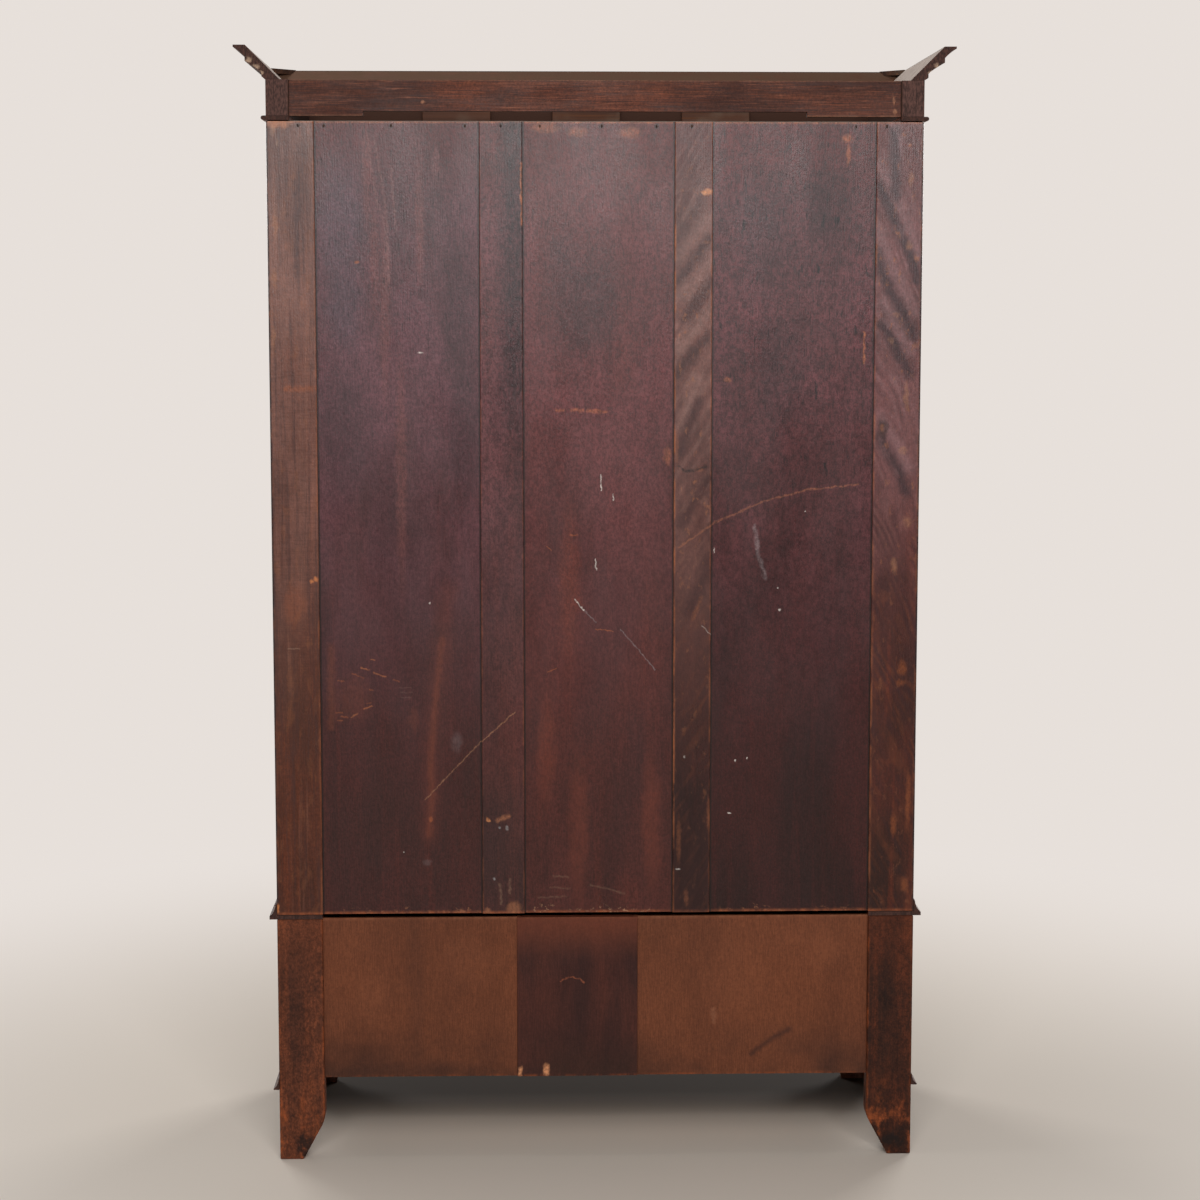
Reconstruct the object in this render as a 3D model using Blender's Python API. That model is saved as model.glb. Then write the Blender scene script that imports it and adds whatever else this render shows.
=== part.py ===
"""Mirrored wardrobe in three stacked sections: drawer base, hanging carcass and cornice.

Metres, +Z up, the door faces -Y and the nailed-up back faces +Y. The origin is on the floor, under the
middle of the cornice's outline. Left and right are as seen from the front, so left is -X.
"""

from math import acos, asin, cos, pi, radians, sin, sqrt

import bmesh
import bpy
from mathutils import Matrix, Vector

# The case as a whole
CASE_WIDTH = 1.160
CASE_DEPTH = 0.497
SEAT_GAP = 0.0003
EDGE_EASE = 0.0012
ROUND_STEPS = 24

# Base
FOOT_HEIGHT = 0.131
BASE_HEIGHT = 0.449
BASE_SIDE_THICKNESS = 0.020
BASE_RAIL_THICKNESS = 0.020
BASE_TOP_RAIL_HEIGHT = 0.026
BASE_TOP_RAIL_DEPTH = 0.050
BASE_BOTTOM_RAIL_HEIGHT = 0.032
ARCH_RISE = 0.104
SIDE_FOOT_FRONT = 0.072
SIDE_FOOT_REAR = 0.048
BRACKET_REACH = 0.062
FRONT_FOOT_FLOOR = 0.050

# Back posts and boards of the base
POST_WIDTH = 0.0825
POST_THICKNESS = 0.040
POST_FLOOR_WIDTH = 0.043
POST_CHAMFER_HEIGHT = 0.073
POST_CHAMFER_CURVE = 0.012
BASE_BOARD_BOTTOM = 0.1515
BASE_CENTRE_BOARD_WIDTH = 0.220
BASE_CENTRE_BOARD_X = 0.0344
BASE_CENTRE_BOARD_THICKNESS = 0.015
BASE_CENTRE_BOARD_RECESS = 0.005
BASE_PANEL_THICKNESS = 0.007

# Waist frame that locates the carcass, and plinth moulding
WAIST_STRIP_THICKNESS = 0.0075
WAIST_HEIGHT = 0.028
WAIST_PROJECTION = 0.0136
WAIST_NOSE = 0.006
WAIST_LIP = 0.0026
PLINTH_HEIGHT = 0.020
PLINTH_PROJECTION = 0.0105
PLINTH_NOSE = 0.0022
PLINTH_LIP = 0.0012

# Carcass
CARCASS_HEIGHT = 1.424
CARCASS_SIDE_THICKNESS = 0.018
CARCASS_TOP_THICKNESS = 0.018
FACE_THICKNESS = 0.022
BACK_FRAME_THICKNESS = 0.016
BACK_TOP_DROP = 0.002
BACK_BOTTOM_RISE = 0.0008
BACK_STILE_WIDTH = 0.0835
BACK_MUNTIN_LEFT_X = -0.1728
BACK_MUNTIN_LEFT_WIDTH = 0.0675
BACK_MUNTIN_RIGHT_X = 0.1685
BACK_MUNTIN_RIGHT_WIDTH = 0.0765
BACK_PANEL_THICKNESS = 0.007
GROOVE_DEPTH = 0.007
GROOVE_LIP = 0.0045
UPRIGHT_ROUND = 0.0016

# Fixed panelled bays either side of the door
DOOR_OPENING = 0.560
BAY_STILE_WIDTH = 0.056
BAY_TOP_RAIL_HEIGHT = 0.078
BAY_BOTTOM_RAIL_HEIGHT = 0.118
BAY_TONGUE = 0.006
BAY_FIELD_RISE = 0.004
BAY_FIELD_BORDER = 0.026
BAY_GROOVE_LIP = 0.008

# Door
DOOR_CLEARANCE = 0.003
DOOR_STILE_WIDTH = 0.070
DOOR_TOP_RAIL_HEIGHT = 0.078
DOOR_BOTTOM_RAIL_HEIGHT = 0.096
REBATE_WIDTH = 0.010
MIRROR_THICKNESS = 0.005
MIRROR_BEVEL = 0.025
MIRROR_BEVEL_DROP = 0.002
BACKBOARD_THICKNESS = 0.006
SIGHT_MOULDING_WIDTH = 0.013
SIGHT_MOULDING_PROUD = 0.003
SIGHT_MOULDING_FILLET = 0.003

# Butt hinges
HINGE_HEIGHT = 0.076
HINGE_END_INSET = 0.150
HINGE_LEAF_WIDTH = 0.017
KNUCKLE_RADIUS = 0.0034
PIN_RADIUS = 0.0016
PIN_HEAD_HEIGHT = 0.0030
PIN_HEAD_RADIUS = 0.0026

# Lock, key and handle
LOCK_RISE = 0.638
LOCK_CASE_DEPTH = 0.046
LOCK_CASE_HEIGHT = 0.062
LOCK_CASE_THICKNESS = 0.012
BOLT_LENGTH = 0.036
BOLT_HEIGHT = 0.010
BOLT_THICKNESS = 0.006
BOLT_RISE = 0.0185
BOLT_THROW = 0.010
KEY_BACKSET = 0.028
KEY_SHANK_RADIUS = 0.0023
KEY_BIT_REACH = 0.0085
KEY_BIT_WIDTH = 0.006
KEY_BIT_THICKNESS = 0.0026
KEY_STANDOUT = 0.024
KEY_BOW_RADIUS = 0.0095
KEY_BOW_WIRE = 0.0021
HANDLE_PLATE_WIDTH = 0.034
HANDLE_PLATE_THICKNESS = 0.0018
HANDLE_PLATE_DROP = 0.014
KNOB_RISE = 0.052
KNOB_RADIUS = 0.0135
KNOB_STANDOUT = 0.030

# Hanging rail
RAIL_DROP = 0.146
RAIL_RADIUS = 0.0125
SOCKET_FLANGE_RADIUS = 0.024
SOCKET_FLANGE_THICKNESS = 0.003
SOCKET_COLLAR = 0.004
SOCKET_DEPTH = 0.014

# Drawer
DRAWER_CLEARANCE = 0.002
DRAWER_FRONT_THICKNESS = 0.021
DRAWER_SIDE_THICKNESS = 0.012
DRAWER_SIDE_HEIGHT = 0.215
DRAWER_BACK_DROP = 0.012
DRAWER_BOTTOM_THICKNESS = 0.007
DRAWER_BOTTOM_RISE = 0.012
DRAWER_GROOVE = 0.006
RUNNER_WIDTH = 0.030
RUNNER_HEIGHT = 0.018
BEARER_BACK_WIDTH = 0.060

# Drawer handles
HANDLE_SPREAD = 0.640
HANDLE_RISE = 0.016
OVAL_HALF_WIDTH = 0.050
OVAL_HALF_HEIGHT = 0.031
OVAL_RIM = 0.0014
OVAL_FIELD = 0.0030
OVAL_FIELD_INSET = 0.006
BAIL_HALF_SPAN = 0.038
BAIL_DROP = 0.026
BAIL_RADIUS = 0.0022
BAIL_STANDOUT = 0.015
BAIL_PIN_LENGTH = 0.0095
EAR_RADIUS = 0.0045
BAIL_STEPS = 20

# Cornice section
BEAD_THICKNESS = 0.0075
BEAD_PROJECTION = 0.009
FRIEZE_HEIGHT = 0.0625
FRIEZE_THICKNESS = 0.040
CORNICE_PROJECTION = 0.056
CORNICE_RISE = 0.059
CORNICE_TOP_WIDTH = 0.021
CORNICE_FOOT_WIDTH = 0.0245
CORNICE_NOSE = 0.0036
CORNICE_STEP_OUT = 0.0355
CORNICE_STEP_FOOT = 0.031
CORNICE_STEP_HEIGHT = 0.008
CORNICE_ASTRAGAL_OUT = 0.0066
CORNICE_ASTRAGAL_FOOT = 0.0045
CORNICE_ASTRAGAL_HEIGHT = 0.0065
CORNICE_HOLLOW = 0.0015
BACK_RAIL_THICKNESS = 0.020
BACK_RAIL_RECESS = 0.009
BACK_RAIL_RELIEF = 0.0085
BACK_RAIL_SHOULDER_LEFT = 0.166
BACK_RAIL_SHOULDER_RIGHT = 0.129

# Levels and planes worked out from the sizes above
HALF_WIDTH = CASE_WIDTH / 2
BACK_Y = (CASE_DEPTH + CORNICE_PROJECTION) / 2
FRONT_Y = BACK_Y - CASE_DEPTH
FACE_BACK_Y = FRONT_Y + FACE_THICKNESS
WAIST_Z = BASE_HEIGHT + SEAT_GAP
CARCASS_Z = WAIST_Z + WAIST_STRIP_THICKNESS + SEAT_GAP
CARCASS_TOP_Z = CARCASS_Z + CARCASS_HEIGHT
SILL_Z = WAIST_Z + WAIST_HEIGHT + DOOR_CLEARANCE / 2
BEAD_Z = CARCASS_TOP_Z + SEAT_GAP
FRIEZE_Z = BEAD_Z + BEAD_THICKNESS + SEAT_GAP
CORNICE_Z = FRIEZE_Z + FRIEZE_HEIGHT + SEAT_GAP
MITRE_GAP = SEAT_GAP * sqrt(2)
CARCASS_BACK_Y = BACK_Y - BACK_FRAME_THICKNESS - SEAT_GAP
RAIL_Z = CARCASS_TOP_Z - RAIL_DROP
CARCASS_INSIDE_X = HALF_WIDTH - CARCASS_SIDE_THICKNESS
BASE_INSIDE_X = HALF_WIDTH - BASE_SIDE_THICKNESS
POST_FRONT_Y = BACK_Y - POST_THICKNESS

# Door planes
DOOR_LEFT = -DOOR_OPENING / 2 + DOOR_CLEARANCE
DOOR_RIGHT = DOOR_OPENING / 2 - DOOR_CLEARANCE
DOOR_BOTTOM = SILL_Z + DOOR_CLEARANCE
DOOR_TOP = CARCASS_TOP_Z - DOOR_CLEARANCE
SIGHT_LEFT = DOOR_LEFT + DOOR_STILE_WIDTH
SIGHT_RIGHT = DOOR_RIGHT - DOOR_STILE_WIDTH
SIGHT_BOTTOM = DOOR_BOTTOM + DOOR_BOTTOM_RAIL_HEIGHT
SIGHT_TOP = DOOR_TOP - DOOR_TOP_RAIL_HEIGHT
REBATE_Y = FACE_BACK_Y - MIRROR_THICKNESS - BACKBOARD_THICKNESS - 3 * SEAT_GAP
HINGE_X = -DOOR_OPENING / 2 + DOOR_CLEARANCE / 2
HINGE_Y = FRONT_Y - KNUCKLE_RADIUS - SEAT_GAP
LOCK_Y = FRONT_Y + FACE_THICKNESS / 2
LOCK_Z = DOOR_BOTTOM + LOCK_RISE
KEY_X = DOOR_RIGHT - KEY_BACKSET

# Drawer planes
DRAWER_BOTTOM = FOOT_HEIGHT + BASE_BOTTOM_RAIL_HEIGHT + DRAWER_CLEARANCE
DRAWER_TOP = BASE_HEIGHT - BASE_TOP_RAIL_HEIGHT - DRAWER_CLEARANCE
DRAWER_HALF = BASE_INSIDE_X - DRAWER_CLEARANCE
DRAWER_SIDE_INSIDE = DRAWER_HALF - DRAWER_SIDE_THICKNESS
DRAWER_FRONT_BACK_Y = FRONT_Y + DRAWER_FRONT_THICKNESS
DRAWER_END_Y = POST_FRONT_Y - SEAT_GAP
HANDLE_Z = (DRAWER_BOTTOM + DRAWER_TOP) / 2 + HANDLE_RISE
BAIL_Y = FRONT_Y - SEAT_GAP - OVAL_FIELD - BAIL_STANDOUT

# Finishes: colour, roughness and metallic value
MAHOGANY = ((0.115, 0.036, 0.020), 0.42, 0.0)
STAINED_PINE = ((0.095, 0.034, 0.022), 0.55, 0.0)
BACK_STAIN = ((0.080, 0.027, 0.022), 0.48, 0.0)
BASE_STAIN = ((0.130, 0.045, 0.022), 0.55, 0.0)
RAW_PINE = ((0.420, 0.260, 0.140), 0.70, 0.0)
SILVERED_GLASS = ((0.860, 0.870, 0.870), 0.03, 1.0)
BRASS = ((0.620, 0.430, 0.160), 0.30, 1.0)
IRON = ((0.110, 0.105, 0.100), 0.55, 1.0)


def clear_scene():
    """Start from an empty scene."""
    for item in list(bpy.data.objects):
        bpy.data.objects.remove(item, do_unlink=True)


def coat(node, finish):
    """Give a node its own material."""
    colour, roughness, metallic = finish
    material = bpy.data.materials.new(node.name)
    material.use_nodes = True
    shader = material.node_tree.nodes["Principled BSDF"]
    shader.inputs["Base Color"].default_value = (*colour, 1.0)
    shader.inputs["Roughness"].default_value = roughness
    shader.inputs["Metallic"].default_value = metallic
    node.data.materials.append(material)


def place(name, shape, origin=None, pivot=None):
    """Turn a shape built in world coordinates into an object at its own origin."""
    bmesh.ops.recalc_face_normals(shape, faces=shape.faces)
    if origin is None:
        corners = [vert.co for vert in shape.verts]
        low = Vector([min(corner[axis] for corner in corners) for axis in range(3)])
        high = Vector([max(corner[axis] for corner in corners) for axis in range(3)])
        origin = (low + high) / 2
    origin = Vector(origin)
    bmesh.ops.translate(shape, verts=shape.verts, vec=-origin)
    mesh = bpy.data.meshes.new(name)
    shape.to_mesh(mesh)
    shape.free()
    item = bpy.data.objects.new(name, mesh)
    bpy.context.collection.objects.link(item)
    item.location = origin
    if pivot is not None:
        item.parent = pivot
        item.location = origin - pivot.location
    return item


def make(name, shape, finish, origin=None, pivot=None, smooth=False):
    """One named sub-part with its finish."""
    item = place(name, shape, origin, pivot)
    coat(item, finish)
    if smooth:
        item.data.shade_smooth()
        item.data.set_sharp_from_angle(angle=radians(32))
    return item


def tool(name, shape):
    """A hidden shape that cuts or joins other pieces."""
    item = place(name, shape)
    item.hide_render = True
    item.display_type = "WIRE"
    return item


def combine(item, other, operation="DIFFERENCE"):
    """Cut a tool out of a piece, or join it on."""
    step = item.modifiers.new(other.name, "BOOLEAN")
    step.operation = operation
    step.object = other


def ease(item, width=EDGE_EASE):
    """Take the sharpness off a board's edges."""
    step = item.modifiers.new("eased_edges", "BEVEL")
    step.width = width
    step.segments = 1
    step.limit_method = "ANGLE"


def pivot_at(name, location):
    """An empty on a joint's axis that carries the moving pieces."""
    empty = bpy.data.objects.new(name, None)
    bpy.context.collection.objects.link(empty)
    empty.location = location
    return empty


def along_x(across, up, distance):
    return (distance, across, up)


def along_y(across, up, distance):
    return (across, distance, up)


def along_z(across, up, distance):
    return (across, up, distance)


def close_through(shape, rings, looped=False):
    """Solid that runs through rings of points matching one to one, closed at its ends or into a loop."""
    made = [[shape.verts.new(point) for point in ring] for ring in rings]
    following = made[1:]
    if looped:
        following = following + made[:1]
    else:
        shape.faces.new(made[0])
        shape.faces.new(made[-1][::-1])
    count = len(made[0])
    for lower, upper in zip(made, following):
        for index in range(count):
            after = (index + 1) % count
            shape.faces.new((lower[index], upper[index], upper[after], lower[after]))


def add_prism(shape, outline, direction, start, end):
    """Extrude a flat outline straight along one axis."""
    first = [direction(a, b, start) for a, b in outline]
    last = [direction(a, b, end) for a, b in outline]
    close_through(shape, [first, last])


def add_box(shape, low, high):
    outline = [(low[0], low[1]), (high[0], low[1]), (high[0], high[1]), (low[0], high[1])]
    add_prism(shape, outline, along_z, low[2], high[2])


def add_round(shape, centre, axis, radius, length, sides=ROUND_STEPS):
    """Cylinder about its centre, along X, Y or Z."""
    turns = {"X": Matrix.Rotation(pi / 2, 4, "Y"), "Y": Matrix.Rotation(pi / 2, 4, "X"), "Z": Matrix.Identity(4)}
    bmesh.ops.create_cone(
        shape,
        cap_ends=True,
        segments=sides,
        radius1=radius,
        radius2=radius,
        depth=length,
        matrix=Matrix.Translation(centre) @ turns[axis],
    )


def add_turned(shape, profile, direction, centre, sides=ROUND_STEPS):
    """Revolve a profile of (radius, distance) points about one axis; its ends lie on that axis."""
    a0, b0 = centre
    rings = []
    for radius, distance in profile:
        if radius == 0:
            rings.append([shape.verts.new(direction(a0, b0, distance))])
            continue
        ring = []
        for step in range(sides):
            angle = 2 * pi * step / sides
            ring.append(shape.verts.new(direction(a0 + radius * cos(angle), b0 + radius * sin(angle), distance)))
        rings.append(ring)
    for lower, upper in zip(rings, rings[1:]):
        for step in range(sides):
            after = (step + 1) % sides
            corners = [lower[step % len(lower)], lower[after % len(lower)]]
            corners += [upper[after % len(upper)], upper[step % len(upper)]]
            shape.faces.new(list(dict.fromkeys(corners)))


def board(name, low, high, finish, pivot=None, eased=True):
    """Plain sawn board with eased edges."""
    shape = bmesh.new()
    add_box(shape, low, high)
    item = make(name, shape, finish, pivot=pivot)
    if eased:
        ease(item)
    return item


def curve(start, pull, end, steps=5):
    """Points of a moulder's curve from start to end, drawn towards pull."""
    points = []
    for step in range(steps + 1):
        t = step / steps
        weights = ((1 - t) ** 2, 2 * t * (1 - t), t * t)
        points.append(tuple(sum(w * p[axis] for w, p in zip(weights, (start, pull, end))) for axis in range(2)))
    return points


def rounded(corner, before, after, radius, steps=2):
    """Small round at an outline's corner, where before and after are unit steps away from it."""
    start = (corner[0] + before[0] * radius, corner[1] + before[1] * radius)
    end = (corner[0] + after[0] * radius, corner[1] + after[1] * radius)
    return curve(start, corner, end, steps)


def mitred_rings(profile, level):
    """Rings of a moulding from the rear left end, round the two front mitres, to the rear right end."""
    rings = []
    for hand, front in ((-1, False), (-1, True), (1, True), (1, False)):
        rings.append([(hand * (HALF_WIDTH + a), FRONT_Y - a if front else BACK_Y, level + b) for a, b in profile])
    return rings


def moulding_round(name, profile, level, finish):
    """Moulding that runs round the front and both sides as one glued-up piece."""
    shape = bmesh.new()
    close_through(shape, mitred_rings(profile, level))
    return make(name, shape, finish, smooth=True)


def moulding_lengths(name, profile, level, finish):
    """The same run as three separate lengths, with an open joint line at each mitre."""
    rings = mitred_rings(profile, level)
    left = [rings[0], [(x, y + MITRE_GAP, z) for x, y, z in rings[1]]]
    right = [rings[3], [(x, y + MITRE_GAP, z) for x, y, z in rings[2]]]
    for side, ends in (("left", left), ("front", rings[1:3]), ("right", right)):
        shape = bmesh.new()
        close_through(shape, ends)
        make(name + "_" + side, shape, finish, smooth=True)


def grooved(low, high, groove_low, groove_high, sides, depth=GROOVE_DEPTH, round_near=0.0, round_far=0.0):
    """Outline of a board with panel grooves in its edges, and its near or far corners rounded."""
    near_left = [low]
    near_right = [(high[0], low[1])]
    far_right = [high]
    far_left = [(low[0], high[1])]
    if round_near:
        near_left = rounded(low, (0, 1), (1, 0), round_near)
        near_right = rounded(near_right[0], (-1, 0), (0, 1), round_near)
    if round_far:
        far_right = rounded(high, (0, -1), (-1, 0), round_far)
        far_left = rounded(far_left[0], (1, 0), (0, -1), round_far)
    outline = near_left + near_right
    if "high" in sides:
        inner = high[0] - depth
        outline += [(high[0], groove_low), (inner, groove_low), (inner, groove_high), (high[0], groove_high)]
    outline += far_right + far_left
    if "low" in sides:
        inner = low[0] + depth
        outline += [(low[0], groove_high), (inner, groove_high), (inner, groove_low), (low[0], groove_low)]
    return outline


def fielded_panel(name, low, high, tongue, slope, rise, finish, pivot=None):
    """Plate with a flat tongue round its edge, then a slope up to a raised field towards -Y."""
    front = low[1] + rise
    rings = []
    for inset, y in ((0, high[1]), (0, front), (tongue, front), (tongue + slope, low[1])):
        left = low[0] + inset
        right = high[0] - inset
        bottom = low[2] + inset
        top = high[2] - inset
        rings.append([(left, y, bottom), (right, y, bottom), (right, y, top), (left, y, top)])
    shape = bmesh.new()
    close_through(shape, rings)
    make(name, shape, finish, pivot=pivot)


def swept_tube(shape, path, radius, sides=10):
    """Round wire along a flat path in X and Z, with closed ends."""
    rings = []
    for index, point in enumerate(path):
        ahead = Vector(path[min(index + 1, len(path) - 1)])
        behind = Vector(path[max(index - 1, 0)])
        tangent = (ahead - behind).normalized()
        across = tangent.cross(Vector((0, 1, 0)))
        ring = []
        for step in range(sides):
            angle = 2 * pi * step / sides
            offset = across * (radius * cos(angle)) + Vector((0, radius * sin(angle), 0))
            ring.append(Vector(point) + offset)
        rings.append(ring)
    close_through(shape, rings)


def bracket(inward):
    """Cyma edge of a bracket foot, from the floor up to the arch, as (distance from the foot, height)."""
    middle = (BRACKET_REACH / 2, ARCH_RISE * 0.55)
    lower = curve((0, 0), (BRACKET_REACH * 0.08, ARCH_RISE * 0.50), middle)
    upper = curve(middle, (BRACKET_REACH * 0.92, ARCH_RISE * 0.60), (BRACKET_REACH, ARCH_RISE))
    edge = lower + upper[1:]
    return [(inward * reach, rise) for reach, rise in edge]


def make_base_sides():
    """Side boards that run to the floor and end in a bracket foot at each corner."""
    rear = POST_FRONT_Y - SEAT_GAP
    front_edge = [(FRONT_Y + SIDE_FOOT_FRONT + a, z) for a, z in bracket(1)]
    rear_edge = [(rear - SIDE_FOOT_REAR + a, z) for a, z in bracket(-1)]
    outline = [(FRONT_Y, 0)] + front_edge + rear_edge[::-1] + [(rear, 0), (rear, BASE_HEIGHT), (FRONT_Y, BASE_HEIGHT)]
    for name, hand in (("base_side_left", -1), ("base_side_right", 1)):
        shape = bmesh.new()
        add_prism(shape, outline, along_x, hand * HALF_WIDTH, hand * BASE_INSIDE_X)
        make(name, shape, MAHOGANY)


def make_base_posts():
    """Rear corner posts, chamfered to a narrow foot, with a groove for the back boards."""
    inner = POST_WIDTH
    bend = (inner, POST_CHAMFER_HEIGHT)
    slope = Vector((POST_FLOOR_WIDTH - inner, -POST_CHAMFER_HEIGHT)).normalized()
    bend_end = (inner + slope.x * POST_CHAMFER_CURVE, POST_CHAMFER_HEIGHT + slope.y * POST_CHAMFER_CURVE)
    bend_start = (inner, POST_CHAMFER_HEIGHT + POST_CHAMFER_CURVE)
    edge = [(POST_FLOOR_WIDTH, 0)] + curve(bend_end, bend, bend_start, 4)
    outline = [(0, 0)] + edge + [(inner, BASE_HEIGHT), (0, BASE_HEIGHT)]
    panel_low, panel_high = base_panel_planes()
    for name, hand in (("base_post_left", -1), ("base_post_right", 1)):
        shape = bmesh.new()
        placed = [(hand * (HALF_WIDTH - a), z) for a, z in outline]
        add_prism(shape, placed, along_y, POST_FRONT_Y, BACK_Y)
        post = make(name, shape, STAINED_PINE)
        ease(post, UPRIGHT_ROUND)
        groove = bmesh.new()
        edges = sorted((hand * (HALF_WIDTH - POST_WIDTH - GROOVE_DEPTH), hand * (HALF_WIDTH - POST_WIDTH + GROOVE_DEPTH)))
        low = (edges[0], panel_low - SEAT_GAP, BASE_BOARD_BOTTOM - SEAT_GAP)
        high = (edges[1], panel_high + SEAT_GAP, BASE_HEIGHT + GROOVE_DEPTH)
        add_box(groove, low, high)
        combine(post, tool(name + "_groove", groove))


def base_panel_planes():
    """Front and rear planes of the two thin panels in the base's back."""
    rear = BACK_Y - BASE_CENTRE_BOARD_RECESS - GROOVE_LIP
    return rear - BASE_PANEL_THICKNESS, rear


def make_base_back():
    """Wide centre board with a thin panel let in on either side of it."""
    panel_low, panel_high = base_panel_planes()
    left = BASE_CENTRE_BOARD_X - BASE_CENTRE_BOARD_WIDTH / 2
    right = BASE_CENTRE_BOARD_X + BASE_CENTRE_BOARD_WIDTH / 2
    rear = BACK_Y - BASE_CENTRE_BOARD_RECESS
    outline = grooved(
        (left, rear - BASE_CENTRE_BOARD_THICKNESS),
        (right, rear),
        panel_low - SEAT_GAP,
        panel_high + SEAT_GAP,
        ("low", "high"),
        round_far=EDGE_EASE,
    )
    shape = bmesh.new()
    add_prism(shape, outline, along_z, BASE_BOARD_BOTTOM, BASE_HEIGHT)
    make("base_board_centre", shape, BACK_STAIN)
    tuck = GROOVE_DEPTH - SEAT_GAP
    post_edge = HALF_WIDTH - POST_WIDTH + tuck
    for name, x0, x1 in (("base_board_left", -post_edge, left + tuck), ("base_board_right", right - tuck, post_edge)):
        board(name, (x0, panel_low, BASE_BOARD_BOTTOM), (x1, panel_high, BASE_HEIGHT), BASE_STAIN, eased=False)


def make_base_front():
    """Rail above the drawer, and the apron below it with a bracket foot at each end."""
    reach = BASE_INSIDE_X - SEAT_GAP
    top_low = (-reach, FRONT_Y, BASE_HEIGHT - BASE_TOP_RAIL_HEIGHT)
    board("base_top_rail", top_low, (reach, FRONT_Y + BASE_TOP_RAIL_DEPTH, BASE_HEIGHT), MAHOGANY)
    foot = reach - FRONT_FOOT_FLOOR
    left_edge = [(-foot + a, z) for a, z in bracket(1)]
    right_edge = [(foot + a, z) for a, z in bracket(-1)]
    top = FOOT_HEIGHT + BASE_BOTTOM_RAIL_HEIGHT
    outline = [(-reach, 0)] + left_edge + right_edge[::-1] + [(reach, 0), (reach, top), (-reach, top)]
    shape = bmesh.new()
    add_prism(shape, outline, along_y, FRONT_Y, FRONT_Y + BASE_RAIL_THICKNESS)
    make("base_apron", shape, MAHOGANY)


def make_base_mouldings():
    """Waist frame with its upstanding lip, and the plinth moulding above the feet."""
    hollow = (WAIST_LIP + WAIST_PROJECTION) / 4
    cove = curve((WAIST_PROJECTION, WAIST_NOSE), (hollow, WAIST_NOSE * 2), (WAIST_LIP, WAIST_HEIGHT))
    waist = [(-POST_WIDTH, 0), (WAIST_PROJECTION, 0)] + cove
    waist += [(SEAT_GAP, WAIST_HEIGHT), (SEAT_GAP, WAIST_STRIP_THICKNESS), (-POST_WIDTH, WAIST_STRIP_THICKNESS)]
    moulding_round("waist_frame", waist, WAIST_Z, MAHOGANY)
    hollow = (PLINTH_LIP + PLINTH_PROJECTION) / 4
    cove = curve((PLINTH_PROJECTION, PLINTH_NOSE), (hollow, PLINTH_NOSE * 3), (PLINTH_LIP, PLINTH_HEIGHT))
    plinth = [(SEAT_GAP, 0), (PLINTH_PROJECTION, 0)] + cove + [(SEAT_GAP, PLINTH_HEIGHT)]
    moulding_round("plinth_moulding", plinth, FOOT_HEIGHT, MAHOGANY)


def make_bearer():
    """Pine frame the drawer slides on: a runner along each side joined by a rail at the back."""
    top = DRAWER_BOTTOM - SEAT_GAP
    front = FRONT_Y + BASE_RAIL_THICKNESS + SEAT_GAP
    rear = POST_FRONT_Y - SEAT_GAP
    outer = BASE_INSIDE_X - SEAT_GAP
    inner = outer - RUNNER_WIDTH
    back = rear - BEARER_BACK_WIDTH
    outline = [(-outer, front), (-inner, front), (-inner, back), (inner, back), (inner, front)]
    outline += [(outer, front), (outer, rear), (-outer, rear)]
    shape = bmesh.new()
    add_prism(shape, outline, along_z, top - RUNNER_HEIGHT, top)
    make("drawer_bearer", shape, STAINED_PINE)


def make_carcass():
    """Sides, top and bottom boards; the bottom board comes forward between the bays as a sill."""
    front = FACE_BACK_Y + SEAT_GAP
    for name, hand in (("carcass_side_left", -1), ("carcass_side_right", 1)):
        near, far = sorted((hand * CARCASS_INSIDE_X, hand * HALF_WIDTH))
        board(name, (near, front, CARCASS_Z), (far, CARCASS_BACK_Y, CARCASS_TOP_Z), MAHOGANY)
    reach = CARCASS_INSIDE_X - SEAT_GAP
    top_low = (-reach, front, CARCASS_TOP_Z - CARCASS_TOP_THICKNESS)
    board("carcass_top", top_low, (reach, CARCASS_BACK_Y, CARCASS_TOP_Z), STAINED_PINE, eased=False)
    sill = DOOR_OPENING / 2 - SEAT_GAP
    outline = [(-sill, FRONT_Y), (sill, FRONT_Y), (sill, front), (reach, front), (reach, CARCASS_BACK_Y)]
    outline += [(-reach, CARCASS_BACK_Y), (-reach, front), (-sill, front)]
    shape = bmesh.new()
    add_prism(shape, outline, along_z, CARCASS_Z, SILL_Z)
    make("carcass_bottom", shape, STAINED_PINE)


def back_panel_planes():
    """Front and rear planes of the carcass's thin back panels."""
    rear = BACK_Y - GROOVE_LIP
    return rear - BACK_PANEL_THICKNESS, rear


def back_uprights():
    """Name, left edge, right edge and grooved edges of each upright of the back, from left to right."""
    stile = HALF_WIDTH - BACK_STILE_WIDTH
    left_half = BACK_MUNTIN_LEFT_WIDTH / 2
    right_half = BACK_MUNTIN_RIGHT_WIDTH / 2
    both = ("low", "high")
    return [
        ("back_stile_left", -HALF_WIDTH, -stile, ("high",)),
        ("back_muntin_left", BACK_MUNTIN_LEFT_X - left_half, BACK_MUNTIN_LEFT_X + left_half, both),
        ("back_muntin_right", BACK_MUNTIN_RIGHT_X - right_half, BACK_MUNTIN_RIGHT_X + right_half, both),
        ("back_stile_right", stile, HALF_WIDTH, ("low",)),
    ]


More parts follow.
